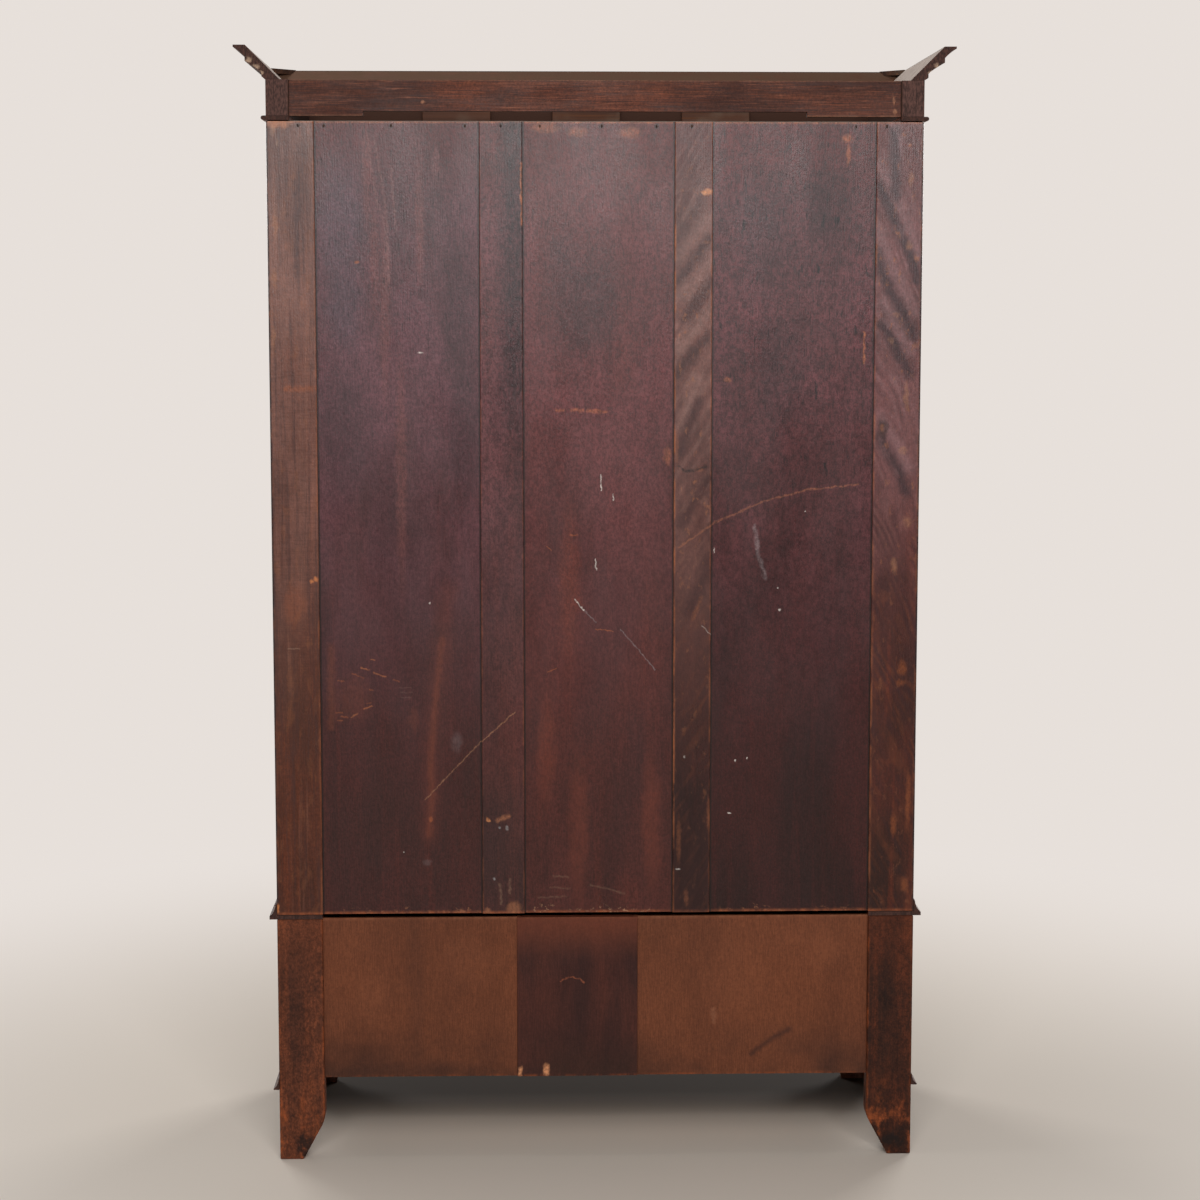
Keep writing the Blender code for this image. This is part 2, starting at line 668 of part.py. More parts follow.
def make_back():
    """Back of the carcass: grooved uprights with thin panels between them, all nailed on."""
    bottom = CARCASS_Z + BACK_BOTTOM_RISE
    top = CARCASS_TOP_Z - BACK_TOP_DROP
    panel_low, panel_high = back_panel_planes()
    uprights = back_uprights()
    for name, left, right, sides in uprights:
        outline = grooved(
            (left, BACK_Y - BACK_FRAME_THICKNESS),
            (right, BACK_Y),
            panel_low - SEAT_GAP,
            panel_high + SEAT_GAP,
            sides,
            round_far=UPRIGHT_ROUND,
        )
        shape = bmesh.new()
        add_prism(shape, outline, along_z, bottom, top)
        make(name, shape, BACK_STAIN)
    tuck = GROOVE_DEPTH - SEAT_GAP
    names = ("back_panel_left", "back_panel_centre", "back_panel_right")
    for name, before, after in zip(names, uprights, uprights[1:]):
        low = (before[2] - tuck, panel_low, bottom)
        high = (after[1] + tuck, panel_high, top)
        board(name, low, high, BACK_STAIN, eased=False)


def make_bays():
    """Fixed frames beside the door, each grooved round its window for a raised and fielded panel."""
    tongue_front = FRONT_Y + BAY_GROOVE_LIP
    tongue_back = tongue_front + BAY_TONGUE
    bottom = CARCASS_Z + BAY_BOTTOM_RAIL_HEIGHT
    top = CARCASS_TOP_Z - BAY_TOP_RAIL_HEIGHT
    tuck = GROOVE_DEPTH - SEAT_GAP
    for side, hand in (("left", -1), ("right", 1)):
        near, far = sorted((hand * DOOR_OPENING / 2, hand * HALF_WIDTH))
        frame = board("bay_frame_" + side, (near, FRONT_Y, CARCASS_Z), (far, FACE_BACK_Y, CARCASS_TOP_Z), MAHOGANY)
        left = near + BAY_STILE_WIDTH
        right = far - BAY_STILE_WIDTH
        window = bmesh.new()
        add_box(window, (left, FRONT_Y - GROOVE_DEPTH, bottom), (right, FACE_BACK_Y + GROOVE_DEPTH, top))
        combine(frame, tool("bay_window_" + side, window))
        groove = bmesh.new()
        groove_low = (left - GROOVE_DEPTH, tongue_front - SEAT_GAP, bottom - GROOVE_DEPTH)
        add_box(groove, groove_low, (right + GROOVE_DEPTH, tongue_back + SEAT_GAP, top + GROOVE_DEPTH))
        combine(frame, tool("bay_groove_" + side, groove))
        if side == "right":
            combine(frame, tool("bolt_mortise", bolt_box(BOLT_THROW + DOOR_CLEARANCE, SEAT_GAP)))
        low = (left - tuck, tongue_front - BAY_FIELD_RISE, bottom - tuck)
        high = (right + tuck, tongue_back, top + tuck)
        fielded_panel("bay_panel_" + side, low, high, GROOVE_DEPTH, BAY_FIELD_BORDER, BAY_FIELD_RISE, MAHOGANY)


def make_door_frame(pivot):
    """Door stiles and rails with a stopped rebate behind for the mirror and its backboard."""
    left_high = (SIGHT_LEFT, FACE_BACK_Y, DOOR_TOP)
    stile_left = board("door_stile_left", (DOOR_LEFT, FRONT_Y, DOOR_BOTTOM), left_high, MAHOGANY, pivot)
    right_high = (DOOR_RIGHT, FACE_BACK_Y, DOOR_TOP)
    stile_right = board("door_stile_right", (SIGHT_RIGHT, FRONT_Y, DOOR_BOTTOM), right_high, MAHOGANY, pivot)
    x0 = SIGHT_LEFT + SEAT_GAP
    x1 = SIGHT_RIGHT - SEAT_GAP
    top = board("door_top_rail", (x0, FRONT_Y, SIGHT_TOP), (x1, FACE_BACK_Y, DOOR_TOP), MAHOGANY, pivot)
    bottom_high = (x1, FACE_BACK_Y, SIGHT_BOTTOM)
    bottom = board("door_bottom_rail", (x0, FRONT_Y, DOOR_BOTTOM), bottom_high, MAHOGANY, pivot)
    rebate = bmesh.new()
    low = (SIGHT_LEFT - REBATE_WIDTH, REBATE_Y, SIGHT_BOTTOM - REBATE_WIDTH)
    high = (SIGHT_RIGHT + REBATE_WIDTH, FACE_BACK_Y + REBATE_WIDTH, SIGHT_TOP + REBATE_WIDTH)
    add_box(rebate, low, high)
    rebate_tool = tool("mirror_rebate", rebate)
    for member in (stile_left, stile_right, top, bottom):
        combine(member, rebate_tool)
    return stile_right


def make_mirror(pivot):
    """Bevelled plate, the backboard behind it and the mitred moulding round its front."""
    reach = REBATE_WIDTH - SEAT_GAP
    low_x = SIGHT_LEFT - reach
    high_x = SIGHT_RIGHT + reach
    low_z = SIGHT_BOTTOM - reach
    high_z = SIGHT_TOP + reach
    glass_y = REBATE_Y + SEAT_GAP
    glass_back = glass_y + MIRROR_THICKNESS
    glass_low = (low_x, glass_y, low_z)
    glass_high = (high_x, glass_back, high_z)
    slope = SIGHT_MOULDING_WIDTH + MIRROR_BEVEL
    fielded_panel("mirror_glass", glass_low, glass_high, reach, slope, MIRROR_BEVEL_DROP, SILVERED_GLASS, pivot)
    back_low = (low_x, glass_back + SEAT_GAP, low_z)
    back_high = (high_x, glass_back + SEAT_GAP + BACKBOARD_THICKNESS, high_z)
    board("mirror_backboard", back_low, back_high, RAW_PINE, pivot, eased=False)

    height = REBATE_Y - FRONT_Y + SIGHT_MOULDING_PROUD
    crown = (SEAT_GAP + SIGHT_MOULDING_FILLET, height)
    fillet = (SIGHT_MOULDING_WIDTH, SIGHT_MOULDING_FILLET)
    profile = [(SEAT_GAP, 0), (SIGHT_MOULDING_WIDTH, 0)]
    profile += curve(fillet, (SIGHT_MOULDING_WIDTH, height), crown, 6)
    profile += [(SEAT_GAP, height)]
    rings = []
    for x, z, across, up in (
        (SIGHT_LEFT, SIGHT_BOTTOM, 1, 1),
        (SIGHT_RIGHT, SIGHT_BOTTOM, -1, 1),
        (SIGHT_RIGHT, SIGHT_TOP, -1, -1),
        (SIGHT_LEFT, SIGHT_TOP, 1, -1),
    ):
        rings.append([(x + across * a, REBATE_Y - b, z + up * a) for a, b in profile])
    strips = bmesh.new()
    close_through(strips, rings, looped=True)
    make("mirror_moulding", strips, MAHOGANY, pivot=pivot, smooth=True)


def make_hinges(pivot):
    """Pair of brass butts: the post leaf has the outer knuckles and the fixed pin, the door leaf the middle one."""
    leaf = DOOR_CLEARANCE / 2 - SEAT_GAP * 1.5
    post_x = HINGE_X - SEAT_GAP / 2 - leaf
    door_x = HINGE_X + SEAT_GAP / 2
    levels = {"lower": DOOR_BOTTOM + HINGE_END_INSET, "upper": DOOR_TOP - HINGE_END_INSET - HINGE_HEIGHT}
    for place_name, level in levels.items():
        knuckle = HINGE_HEIGHT / 3
        post = hinge_leaf("hinge_post_leaf_" + place_name, post_x, leaf, level, (0, 2), None)
        pin = bmesh.new()
        foot = level - PIN_HEAD_HEIGHT
        head = level + HINGE_HEIGHT + PIN_HEAD_HEIGHT
        profile = [(0, foot), (PIN_HEAD_RADIUS * 0.6, foot), (PIN_HEAD_RADIUS, level), (PIN_RADIUS, level + knuckle / 2)]
        profile += [(PIN_RADIUS, level + knuckle * 2.5), (PIN_HEAD_RADIUS, level + HINGE_HEIGHT)]
        profile += [(PIN_HEAD_RADIUS * 0.6, head), (0, head)]
        add_turned(pin, profile, along_z, (HINGE_X, HINGE_Y))
        combine(post, tool("pin_" + place_name, pin), "UNION")
        door = hinge_leaf("hinge_door_leaf_" + place_name, door_x, leaf, level, (1,), pivot)
        bore = bmesh.new()
        middle = (HINGE_X, HINGE_Y, level + HINGE_HEIGHT / 2)
        add_round(bore, middle, "Z", PIN_RADIUS + SEAT_GAP, HINGE_HEIGHT)
        combine(door, tool("pin_bore_" + place_name, bore))


def hinge_leaf(name, x0, leaf, level, spans, pivot):
    """One leaf in the gap at the door's edge, with the knuckles it carries."""
    plate = bmesh.new()
    add_box(plate, (x0, FRONT_Y, level), (x0 + leaf, FRONT_Y + HINGE_LEAF_WIDTH, level + HINGE_HEIGHT))
    item = make(name, plate, BRASS, pivot=pivot, smooth=True)
    knuckle = HINGE_HEIGHT / 3
    for index in spans:
        barrel = bmesh.new()
        low = level + knuckle * index + SEAT_GAP / 2
        add_knuckle(barrel, x0, leaf, low, low + knuckle - SEAT_GAP)
        combine(item, tool(name + "_knuckle_" + str(index), barrel), "UNION")
    return item


def add_knuckle(shape, x0, leaf, low, high):
    """Barrel about the pin with a tongue reaching back into its leaf."""
    left = x0 - HINGE_X
    right = left + leaf
    reach = FRONT_Y + leaf - HINGE_Y
    start = acos(right / KNUCKLE_RADIUS)
    sweep = 2 * pi - (acos(left / KNUCKLE_RADIUS) - start)
    outline = [(HINGE_X + right, HINGE_Y + reach)]
    for step in range(ROUND_STEPS + 1):
        angle = start - sweep * step / ROUND_STEPS
        outline.append((HINGE_X + KNUCKLE_RADIUS * cos(angle), HINGE_Y + KNUCKLE_RADIUS * sin(angle)))
    outline.append((HINGE_X + left, HINGE_Y + reach))
    add_prism(shape, outline, along_z, low, high)


def bolt_box(throw, clearance):
    """Bolt as a box, thrown this far, with clearance all round it."""
    shape = bmesh.new()
    level = LOCK_Z + BOLT_RISE
    end = DOOR_RIGHT - SEAT_GAP + throw + clearance
    low = (DOOR_RIGHT - BOLT_LENGTH - clearance, LOCK_Y - BOLT_THICKNESS / 2 - clearance, level - BOLT_HEIGHT / 2 - clearance)
    high = (end, LOCK_Y + BOLT_THICKNESS / 2 + clearance, level + BOLT_HEIGHT / 2 + clearance)
    add_box(shape, low, high)
    return shape


def keyhole_tool():
    """Keyhole outline, a round over a slot, driven in from the front to the far side of the bit."""
    radius = KEY_SHANK_RADIUS + SEAT_GAP
    half_slot = KEY_BIT_THICKNESS / 2 + SEAT_GAP
    foot = KEY_BIT_REACH + SEAT_GAP
    start = -pi / 2 + asin(half_slot / radius)
    sweep = 2 * (pi - asin(half_slot / radius))
    outline = [(KEY_X - half_slot, LOCK_Z - foot), (KEY_X + half_slot, LOCK_Z - foot)]
    for step in range(ROUND_STEPS + 1):
        angle = start + sweep * step / ROUND_STEPS
        outline.append((KEY_X + radius * cos(angle), LOCK_Z + radius * sin(angle)))
    shape = bmesh.new()
    add_prism(shape, outline, along_y, FRONT_Y - KNOB_STANDOUT, LOCK_Y)
    return tool("keyhole", shape)


def make_lock(pivot, stile):
    """Mortised lock case, its bolt, and the key that turns in it."""
    half = LOCK_CASE_THICKNESS / 2
    low = (DOOR_RIGHT - LOCK_CASE_DEPTH, LOCK_Y - half, LOCK_Z - LOCK_CASE_HEIGHT / 2)
    high = (DOOR_RIGHT, LOCK_Y + half, LOCK_Z + LOCK_CASE_HEIGHT / 2)
    pocket = bmesh.new()
    gap = Vector((SEAT_GAP, SEAT_GAP, SEAT_GAP))
    add_box(pocket, Vector(low) - gap, Vector(high) + gap + Vector((LOCK_CASE_THICKNESS, 0, 0)))
    combine(stile, tool("lock_pocket", pocket))
    keyhole = keyhole_tool()
    combine(stile, keyhole)
    case = board("lock_case", low, high, BRASS, pivot, eased=False)
    combine(case, tool("bolt_channel", bolt_box(BOLT_THROW, SEAT_GAP)))
    combine(case, keyhole)
    cavity = bmesh.new()
    add_round(cavity, (KEY_X, LOCK_Y, LOCK_Z), "Y", KEY_BIT_REACH + 2 * SEAT_GAP, KEY_BIT_WIDTH + 2 * SEAT_GAP)
    combine(case, tool("bit_cavity", cavity))

    bolt_pivot = pivot_at("bolt_slide", (DOOR_RIGHT, LOCK_Y, LOCK_Z + BOLT_RISE))
    make("lock_bolt", bolt_box(0, 0), BRASS, pivot=bolt_pivot)
    make_key()
    return keyhole


def make_key():
    """Iron key: ring bow and shank, with a flat bit hanging in the keyhole's slot."""
    tip = LOCK_Y + KEY_BIT_WIDTH / 2
    neck = FRONT_Y - KEY_STANDOUT
    axis = pivot_at("key_turn", (KEY_X, neck, LOCK_Z))
    shank = bmesh.new()
    add_round(shank, (KEY_X, (tip + neck) / 2, LOCK_Z), "Y", KEY_SHANK_RADIUS, tip - neck, 16)
    key = make("door_key", shank, IRON, origin=axis.location, pivot=axis, smooth=True)
    bit = bmesh.new()
    half = KEY_BIT_THICKNESS / 2
    add_box(bit, (KEY_X - half, LOCK_Y - KEY_BIT_WIDTH / 2, LOCK_Z - KEY_BIT_REACH), (KEY_X + half, tip, LOCK_Z))
    combine(key, tool("key_bit", bit), "UNION")
    bow = bmesh.new()
    centre = (KEY_X, neck - KEY_BOW_RADIUS, LOCK_Z)
    ring_steps = 20
    wire_steps = 8
    rings = []
    for step in range(ring_steps):
        angle = 2 * pi * step / ring_steps
        ring = []
        for turn in range(wire_steps):
            lift = 2 * pi * turn / wire_steps
            reach = KEY_BOW_RADIUS + KEY_BOW_WIRE * cos(lift)
            offset = (KEY_BOW_WIRE * sin(lift), reach * cos(angle), reach * sin(angle))
            ring.append(bow.verts.new(Vector(centre) + Vector(offset)))
        rings.append(ring)
    for lower, upper in zip(rings, rings[1:] + rings[:1]):
        for turn in range(wire_steps):
            after = (turn + 1) % wire_steps
            bow.faces.new((lower[turn], upper[turn], upper[after], lower[after]))
    combine(key, tool("key_bow", bow), "UNION")


def make_door_handle(pivot, keyhole):
    """Long brass plate pierced for the key, with a turned knob above."""
    half = HANDLE_PLATE_WIDTH / 2
    foot = LOCK_Z - HANDLE_PLATE_DROP
    head = LOCK_Z + KNOB_RISE
    outline = []
    for step in range(ROUND_STEPS // 2 + 1):
        angle = pi * step / (ROUND_STEPS // 2)
        outline.append((KEY_X + half * cos(angle), head + half * sin(angle)))
    for step in range(ROUND_STEPS // 2 + 1):
        angle = pi + pi * step / (ROUND_STEPS // 2)
        outline.append((KEY_X + half * cos(angle), foot + half * sin(angle)))
    rear = FRONT_Y - SEAT_GAP
    front = rear - HANDLE_PLATE_THICKNESS
    shape = bmesh.new()
    add_prism(shape, outline, along_y, front, rear)
    plate = make("door_handle", shape, BRASS, pivot=pivot, smooth=True)
    end = front - KNOB_STANDOUT
    neck = KNOB_RADIUS * 0.45
    base = front + HANDLE_PLATE_THICKNESS / 2
    profile = [(0, base), (KNOB_RADIUS * 0.8, base), (KNOB_RADIUS * 0.8, front - 0.002), (neck, front - 0.005)]
    profile += [(neck, end + KNOB_RADIUS * 1.2)]
    for step in range(7):
        angle = -pi / 4 + (pi * 3 / 4) * step / 6
        profile.append((KNOB_RADIUS * cos(angle), end + KNOB_RADIUS * 0.5 * (1 - sin(angle))))
    profile[-1] = (0, end)
    knob = bmesh.new()
    add_turned(knob, profile, along_y, (KEY_X, head))
    combine(plate, tool("door_knob", knob), "UNION")
    combine(plate, keyhole)


def make_hanging_rail():
    """Brass rail with a collar and a flange at each end, screwed to the carcass sides."""
    y = (FACE_BACK_Y + CARCASS_BACK_Y) / 2
    wall = CARCASS_INSIDE_X - SEAT_GAP
    seat = wall - SOCKET_FLANGE_THICKNESS
    collar = RAIL_RADIUS + SOCKET_COLLAR
    lip = seat - SOCKET_DEPTH
    half = [(0, wall), (SOCKET_FLANGE_RADIUS, wall), (SOCKET_FLANGE_RADIUS, seat), (collar, seat)]
    half += [(collar, lip), (RAIL_RADIUS, lip)]
    profile = [(radius, -x) for radius, x in half] + half[::-1]
    shape = bmesh.new()
    add_turned(shape, profile, along_x, (y, RAIL_Z))
    make("hanging_rail", shape, BRASS, smooth=True)


def make_drawer(pivot):
    """Drawer box: lapped front, sides and back round a bottom that slides into grooves."""
    front_high = (DRAWER_HALF, DRAWER_FRONT_BACK_Y, DRAWER_TOP)
    front = board("drawer_front", (-DRAWER_HALF, FRONT_Y, DRAWER_BOTTOM), front_high, MAHOGANY, pivot)
    start = DRAWER_FRONT_BACK_Y + SEAT_GAP
    side_top = DRAWER_BOTTOM + DRAWER_SIDE_HEIGHT
    cut = [front]
    for name, hand in (("drawer_side_left", -1), ("drawer_side_right", 1)):
        near, far = sorted((hand * DRAWER_SIDE_INSIDE, hand * DRAWER_HALF))
        cut.append(board(name, (near, start, DRAWER_BOTTOM), (far, DRAWER_END_Y, side_top), RAW_PINE, pivot))
    inside = DRAWER_SIDE_INSIDE - SEAT_GAP
    floor = DRAWER_BOTTOM + DRAWER_BOTTOM_RISE
    floor_top = floor + DRAWER_BOTTOM_THICKNESS
    back_low = (-inside, DRAWER_END_Y - DRAWER_SIDE_THICKNESS, floor_top + SEAT_GAP)
    board("drawer_back", back_low, (inside, DRAWER_END_Y, side_top - DRAWER_BACK_DROP), RAW_PINE, pivot)
    low = Vector((-DRAWER_SIDE_INSIDE - DRAWER_GROOVE, DRAWER_FRONT_BACK_Y - DRAWER_GROOVE, floor))
    high = Vector((DRAWER_SIDE_INSIDE + DRAWER_GROOVE, DRAWER_END_Y, floor_top))
    board("drawer_bottom", low, high, RAW_PINE, pivot, eased=False)
    groove = bmesh.new()
    gap = Vector((SEAT_GAP, SEAT_GAP, SEAT_GAP))
    add_box(groove, low - gap, high + gap + Vector((0, DRAWER_GROOVE, 0)))
    groove_tool = tool("drawer_bottom_groove", groove)
    for member in cut:
        combine(member, groove_tool)


def make_handle_plate(name, centre_x, pivot):
    """Oval stamped plate on the drawer front, with two drilled ears for its bail."""
    rear = FRONT_Y - SEAT_GAP
    levels = [(0, rear), (0, rear - OVAL_RIM), (OVAL_FIELD_INSET, rear - OVAL_FIELD)]
    rings = []
    for inset, y in levels:
        wide = OVAL_HALF_WIDTH - inset
        tall = OVAL_HALF_HEIGHT - inset
        angles = [2 * pi * step / ROUND_STEPS for step in range(ROUND_STEPS)]
        rings.append([(centre_x + wide * cos(angle), y, HANDLE_Z + tall * sin(angle)) for angle in angles])
    shape = bmesh.new()
    close_through(shape, rings)
    plate = make(name, shape, BRASS, pivot=pivot, smooth=True)
    for side, hand in (("left", -1), ("right", 1)):
        ear_x = centre_x + hand * BAIL_HALF_SPAN
        ear = bmesh.new()
        add_ear(ear, ear_x, rear)
        combine(plate, tool(name + "_ear_" + side, ear), "UNION")
        hole = bmesh.new()
        add_round(hole, (ear_x, BAIL_Y, HANDLE_Z), "X", BAIL_RADIUS + SEAT_GAP, 4 * EAR_RADIUS, 16)
        combine(plate, tool(name + "_hole_" + side, hole))


def add_ear(shape, ear_x, rear):
    """Stem out of the plate that swells into a ball round the bail's pivot."""
    stem = EAR_RADIUS * 0.62
    ball = EAR_RADIUS
    start = rear - OVAL_RIM / 2
    profile = [(0, start), (stem, start)]
    for step in range(7):
        angle = -pi / 3 + (pi / 2 + pi / 3) * step / 6
        profile.append((ball * cos(angle), BAIL_Y - ball * sin(angle)))
    profile[-1] = (0, BAIL_Y - ball)
    profile.insert(2, (stem, BAIL_Y + ball))
    add_turned(shape, profile, along_y, (ear_x, HANDLE_Z), 16)


def make_bail(name, centre_x, drawer):
    """Swinging wire bail that hangs from the ears by its out-turned ends."""
    axis = pivot_at(name + "_axis", (centre_x, BAIL_Y, HANDLE_Z))
    axis.parent = drawer
    axis.location = axis.location - drawer.location
    bow = BAIL_HALF_SPAN - BAIL_PIN_LENGTH
    arc = []
    for step in range(BAIL_STEPS + 1):
        angle = pi * step / BAIL_STEPS
        arc.append((centre_x - bow * cos(angle), BAIL_Y, HANDLE_Z - BAIL_DROP * sin(angle) ** 0.8))
    path = [(centre_x - BAIL_HALF_SPAN, BAIL_Y, HANDLE_Z)] + arc + [(centre_x + BAIL_HALF_SPAN, BAIL_Y, HANDLE_Z)]
    shape = bmesh.new()
    swept_tube(shape, path, BAIL_RADIUS)
    bail = make(name, shape, BRASS, origin=(centre_x, BAIL_Y, HANDLE_Z), smooth=True)
    bail.parent = axis
    bail.location = (0, 0, 0)


def cornice_profile():
    """Section of the sprung cornice as (out from the frieze, up from its top)."""
    step_top = CORNICE_STEP_FOOT + CORNICE_STEP_HEIGHT
    nose_foot = (CORNICE_PROJECTION, CORNICE_RISE - CORNICE_NOSE)
    astragal_top = CORNICE_ASTRAGAL_FOOT + CORNICE_ASTRAGAL_HEIGHT
    profile = [(-CORNICE_FOOT_WIDTH, 0), (0, 0), (CORNICE_ASTRAGAL_OUT, CORNICE_ASTRAGAL_FOOT)]
    pull = (CORNICE_ASTRAGAL_OUT + CORNICE_HOLLOW, astragal_top + 3 * CORNICE_HOLLOW)
    profile += curve((CORNICE_ASTRAGAL_OUT, astragal_top), pull, (CORNICE_STEP_OUT, CORNICE_STEP_FOOT))
    middle = ((CORNICE_STEP_OUT + nose_foot[0]) / 2, (step_top + nose_foot[1]) / 2)
    pull = (middle[0] - CORNICE_HOLLOW, middle[1] + CORNICE_HOLLOW)
    profile += curve((CORNICE_STEP_OUT, step_top), pull, nose_foot)
    profile += [(CORNICE_PROJECTION, CORNICE_RISE), (CORNICE_PROJECTION - CORNICE_TOP_WIDTH, CORNICE_RISE)]
    return profile


def make_cornice():
    """Frieze box on its bead, the sprung moulding mitred round three sides, and the plain back rail."""
    nose = BEAD_THICKNESS / 2
    bead = [(-FRIEZE_THICKNESS, 0)]
    for step in range(7):
        angle = -pi / 2 + pi * step / 6
        bead.append((BEAD_PROJECTION - nose + nose * cos(angle), nose + nose * sin(angle)))
    bead.append((-FRIEZE_THICKNESS, BEAD_THICKNESS))
    moulding_round("frieze_bead", bead, BEAD_Z, MAHOGANY)
    frieze = [(-FRIEZE_THICKNESS, 0), (0, 0), (0, FRIEZE_HEIGHT), (-FRIEZE_THICKNESS, FRIEZE_HEIGHT)]
    moulding_lengths("frieze", frieze, FRIEZE_Z, MAHOGANY)
    moulding_lengths("cornice", cornice_profile(), CORNICE_Z, MAHOGANY)

    reach = HALF_WIDTH - FRIEZE_THICKNESS - SEAT_GAP
    left = BACK_RAIL_SHOULDER_LEFT - reach
    right = reach - BACK_RAIL_SHOULDER_RIGHT
    top = FRIEZE_Z + FRIEZE_HEIGHT
    relief = FRIEZE_Z + BACK_RAIL_RELIEF
    outline = [(-reach, FRIEZE_Z), (left, FRIEZE_Z), (left, relief), (right, relief), (right, FRIEZE_Z)]
    outline += [(reach, FRIEZE_Z), (reach, top), (-reach, top)]
    rear = BACK_Y - BACK_RAIL_RECESS
    shape = bmesh.new()
    add_prism(shape, outline, along_y, rear - BACK_RAIL_THICKNESS, rear)
    make("cornice_back_rail", shape, STAINED_PINE)


def build():
    clear_scene()
    make_base_sides()
    make_base_posts()
    make_base_back()
    make_base_front()
    make_base_mouldings()
    make_bearer()
    make_carcass()
    make_back()
    make_bays()
    make_hanging_rail()
    make_cornice()
    door = pivot_at("door_hinge", (HINGE_X, HINGE_Y, DOOR_BOTTOM))
    lock_stile = make_door_frame(door)
    make_mirror(door)
    make_hinges(door)
    keyhole = make_lock(door, lock_stile)
    make_door_handle(door, keyhole)
    drawer = pivot_at("drawer_slide", (0, FRONT_Y, DRAWER_BOTTOM))
    make_drawer(drawer)
    for side, hand in (("left", -1), ("right", 1)):
        centre_x = hand * HANDLE_SPREAD / 2
        make_handle_plate("handle_plate_" + side, centre_x, drawer)
        make_bail("handle_bail_" + side, centre_x, drawer)


build()
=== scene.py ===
import math

import bpy
from mathutils import Matrix, Vector


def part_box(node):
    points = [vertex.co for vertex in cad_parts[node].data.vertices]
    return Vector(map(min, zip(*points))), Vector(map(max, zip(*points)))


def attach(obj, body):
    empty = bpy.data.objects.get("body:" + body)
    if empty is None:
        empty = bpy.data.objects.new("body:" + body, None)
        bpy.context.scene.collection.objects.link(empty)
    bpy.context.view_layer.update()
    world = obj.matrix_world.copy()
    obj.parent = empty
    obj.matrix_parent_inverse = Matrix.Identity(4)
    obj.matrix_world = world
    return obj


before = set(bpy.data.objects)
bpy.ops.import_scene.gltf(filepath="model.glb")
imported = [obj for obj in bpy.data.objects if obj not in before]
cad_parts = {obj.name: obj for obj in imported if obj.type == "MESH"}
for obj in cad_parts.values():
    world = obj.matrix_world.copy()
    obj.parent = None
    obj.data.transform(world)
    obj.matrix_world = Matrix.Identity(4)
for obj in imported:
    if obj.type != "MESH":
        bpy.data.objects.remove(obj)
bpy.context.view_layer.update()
bpy.ops.object.select_all(action="DESELECT")

# Camera
# It stands where the photograph was taken: five metres behind the wardrobe, at eye height and a little to one
# side, looking slightly down at the nailed-up back.
VIEW_FROM = Vector((0.130, 4.9935, 1.570))
VIEW_ALONG = Vector((-0.0288, -0.9931, -0.1134))
LENS_MM = 79.27
SENSOR_MM = 36.0

camera = bpy.data.objects.new("camera", bpy.data.cameras.new("camera"))
camera.data.lens = LENS_MM
camera.data.sensor_width = SENSOR_MM
camera.location = VIEW_FROM
camera.rotation_euler = VIEW_ALONG.to_track_quat("-Z", "Y").to_euler()
bpy.context.collection.objects.link(camera)
bpy.context.scene.camera = camera

# Studio
# A plain pale floor that is lost in a pale room, with a shadow painted into its colour under the base. A wide
# lamp high behind the camera gives the sheen that fades down the back, a pair lights the mirrored front and
# the sides, and a weak one the top.
FLOOR_SPREAD = 60.0
FLOOR_DROP = 0.0004
FLOOR_COLOUR = (0.80, 0.72, 0.63, 1.0)
FLOOR_ROUGHNESS = 0.7
FLOOR_GLOSS = 0.1
FLOOR_CLEAR = 0.7
FLOOR_LOST = 2.6
# Colour of the painted shadow under the base.
FLOOR_SHADE = (0.070, 0.056, 0.046, 1.0)
SHADE_EDGES = [("X", -0.60, -0.55), ("X", 0.60, 0.55), ("Y", -0.285, -0.250), ("Y", 0.17, -0.13)]
ROOM_SEEN = (0.80, 0.745, 0.705, 1.0)
ROOM_GLOW = (0.125, 0.120, 0.117, 1.0)
MIRROR_MIDDLE = (0.0, -0.22, 1.10)


def studio_lamp(name, place, aim, wide, tall, watts):
    """Soft rectangular lamp aimed at a point."""
    lamp = bpy.data.objects.new(name, bpy.data.lights.new(name, "AREA"))
    lamp.data.shape = "RECTANGLE"
    lamp.data.size = wide
    lamp.data.size_y = tall
    lamp.data.energy = watts
    lamp.location = place
    lamp.rotation_euler = (Vector(aim) - Vector(place)).to_track_quat("-Z", "Y").to_euler()
    lamp.visible_camera = False
    bpy.context.collection.objects.link(lamp)


def add(tree, kind, sockets=None, **settings):
    """One shader node. Its inputs go by name or place, each a number, a colour or another node's output."""
    made = tree.nodes.new("ShaderNode" + kind)
    for name, value in settings.items():
        setattr(made, name, value)
    for key, value in (sockets or {}).items():
        if isinstance(value, bpy.types.NodeSocket):
            tree.links.new(value, made.inputs[key])
        else:
            made.inputs[key].default_value = value
    return made


def begin(name):
    """A new finish and the tree that its layers go into."""
    material = bpy.data.materials.new(name)
    material.use_nodes = True
    return material, material.node_tree


def here(tree):
    """Place on the wardrobe in metres."""
    return add(tree, "TexCoord").outputs["Object"]


def axis(tree, letter):
    return add(tree, "SeparateXYZ", {0: here(tree)}).outputs[letter]


def calc(tree, operation, first, second=0.0):
    return add(tree, "Math", {0: first, 1: second}, operation=operation).outputs[0]


def times(tree, first, second):
    return calc(tree, "MULTIPLY", first, second)


def fade(tree, value, low, high, start=0.0, end=1.0):
    """Smooth step from start to end while value goes from low to high."""
    ends = {"From Min": low, "From Max": high, "To Min": start, "To Max": end}
    return add(tree, "MapRange", {"Value": value, **ends}, interpolation_type="SMOOTHSTEP").outputs[0]


def layer(tree, amount, under, over, mode="MIX"):
    """One coat of colour over another."""
    return add(tree, "Mix", {0: amount, 6: under, 7: over}, data_type="RGBA", blend_type=mode).outputs[2]


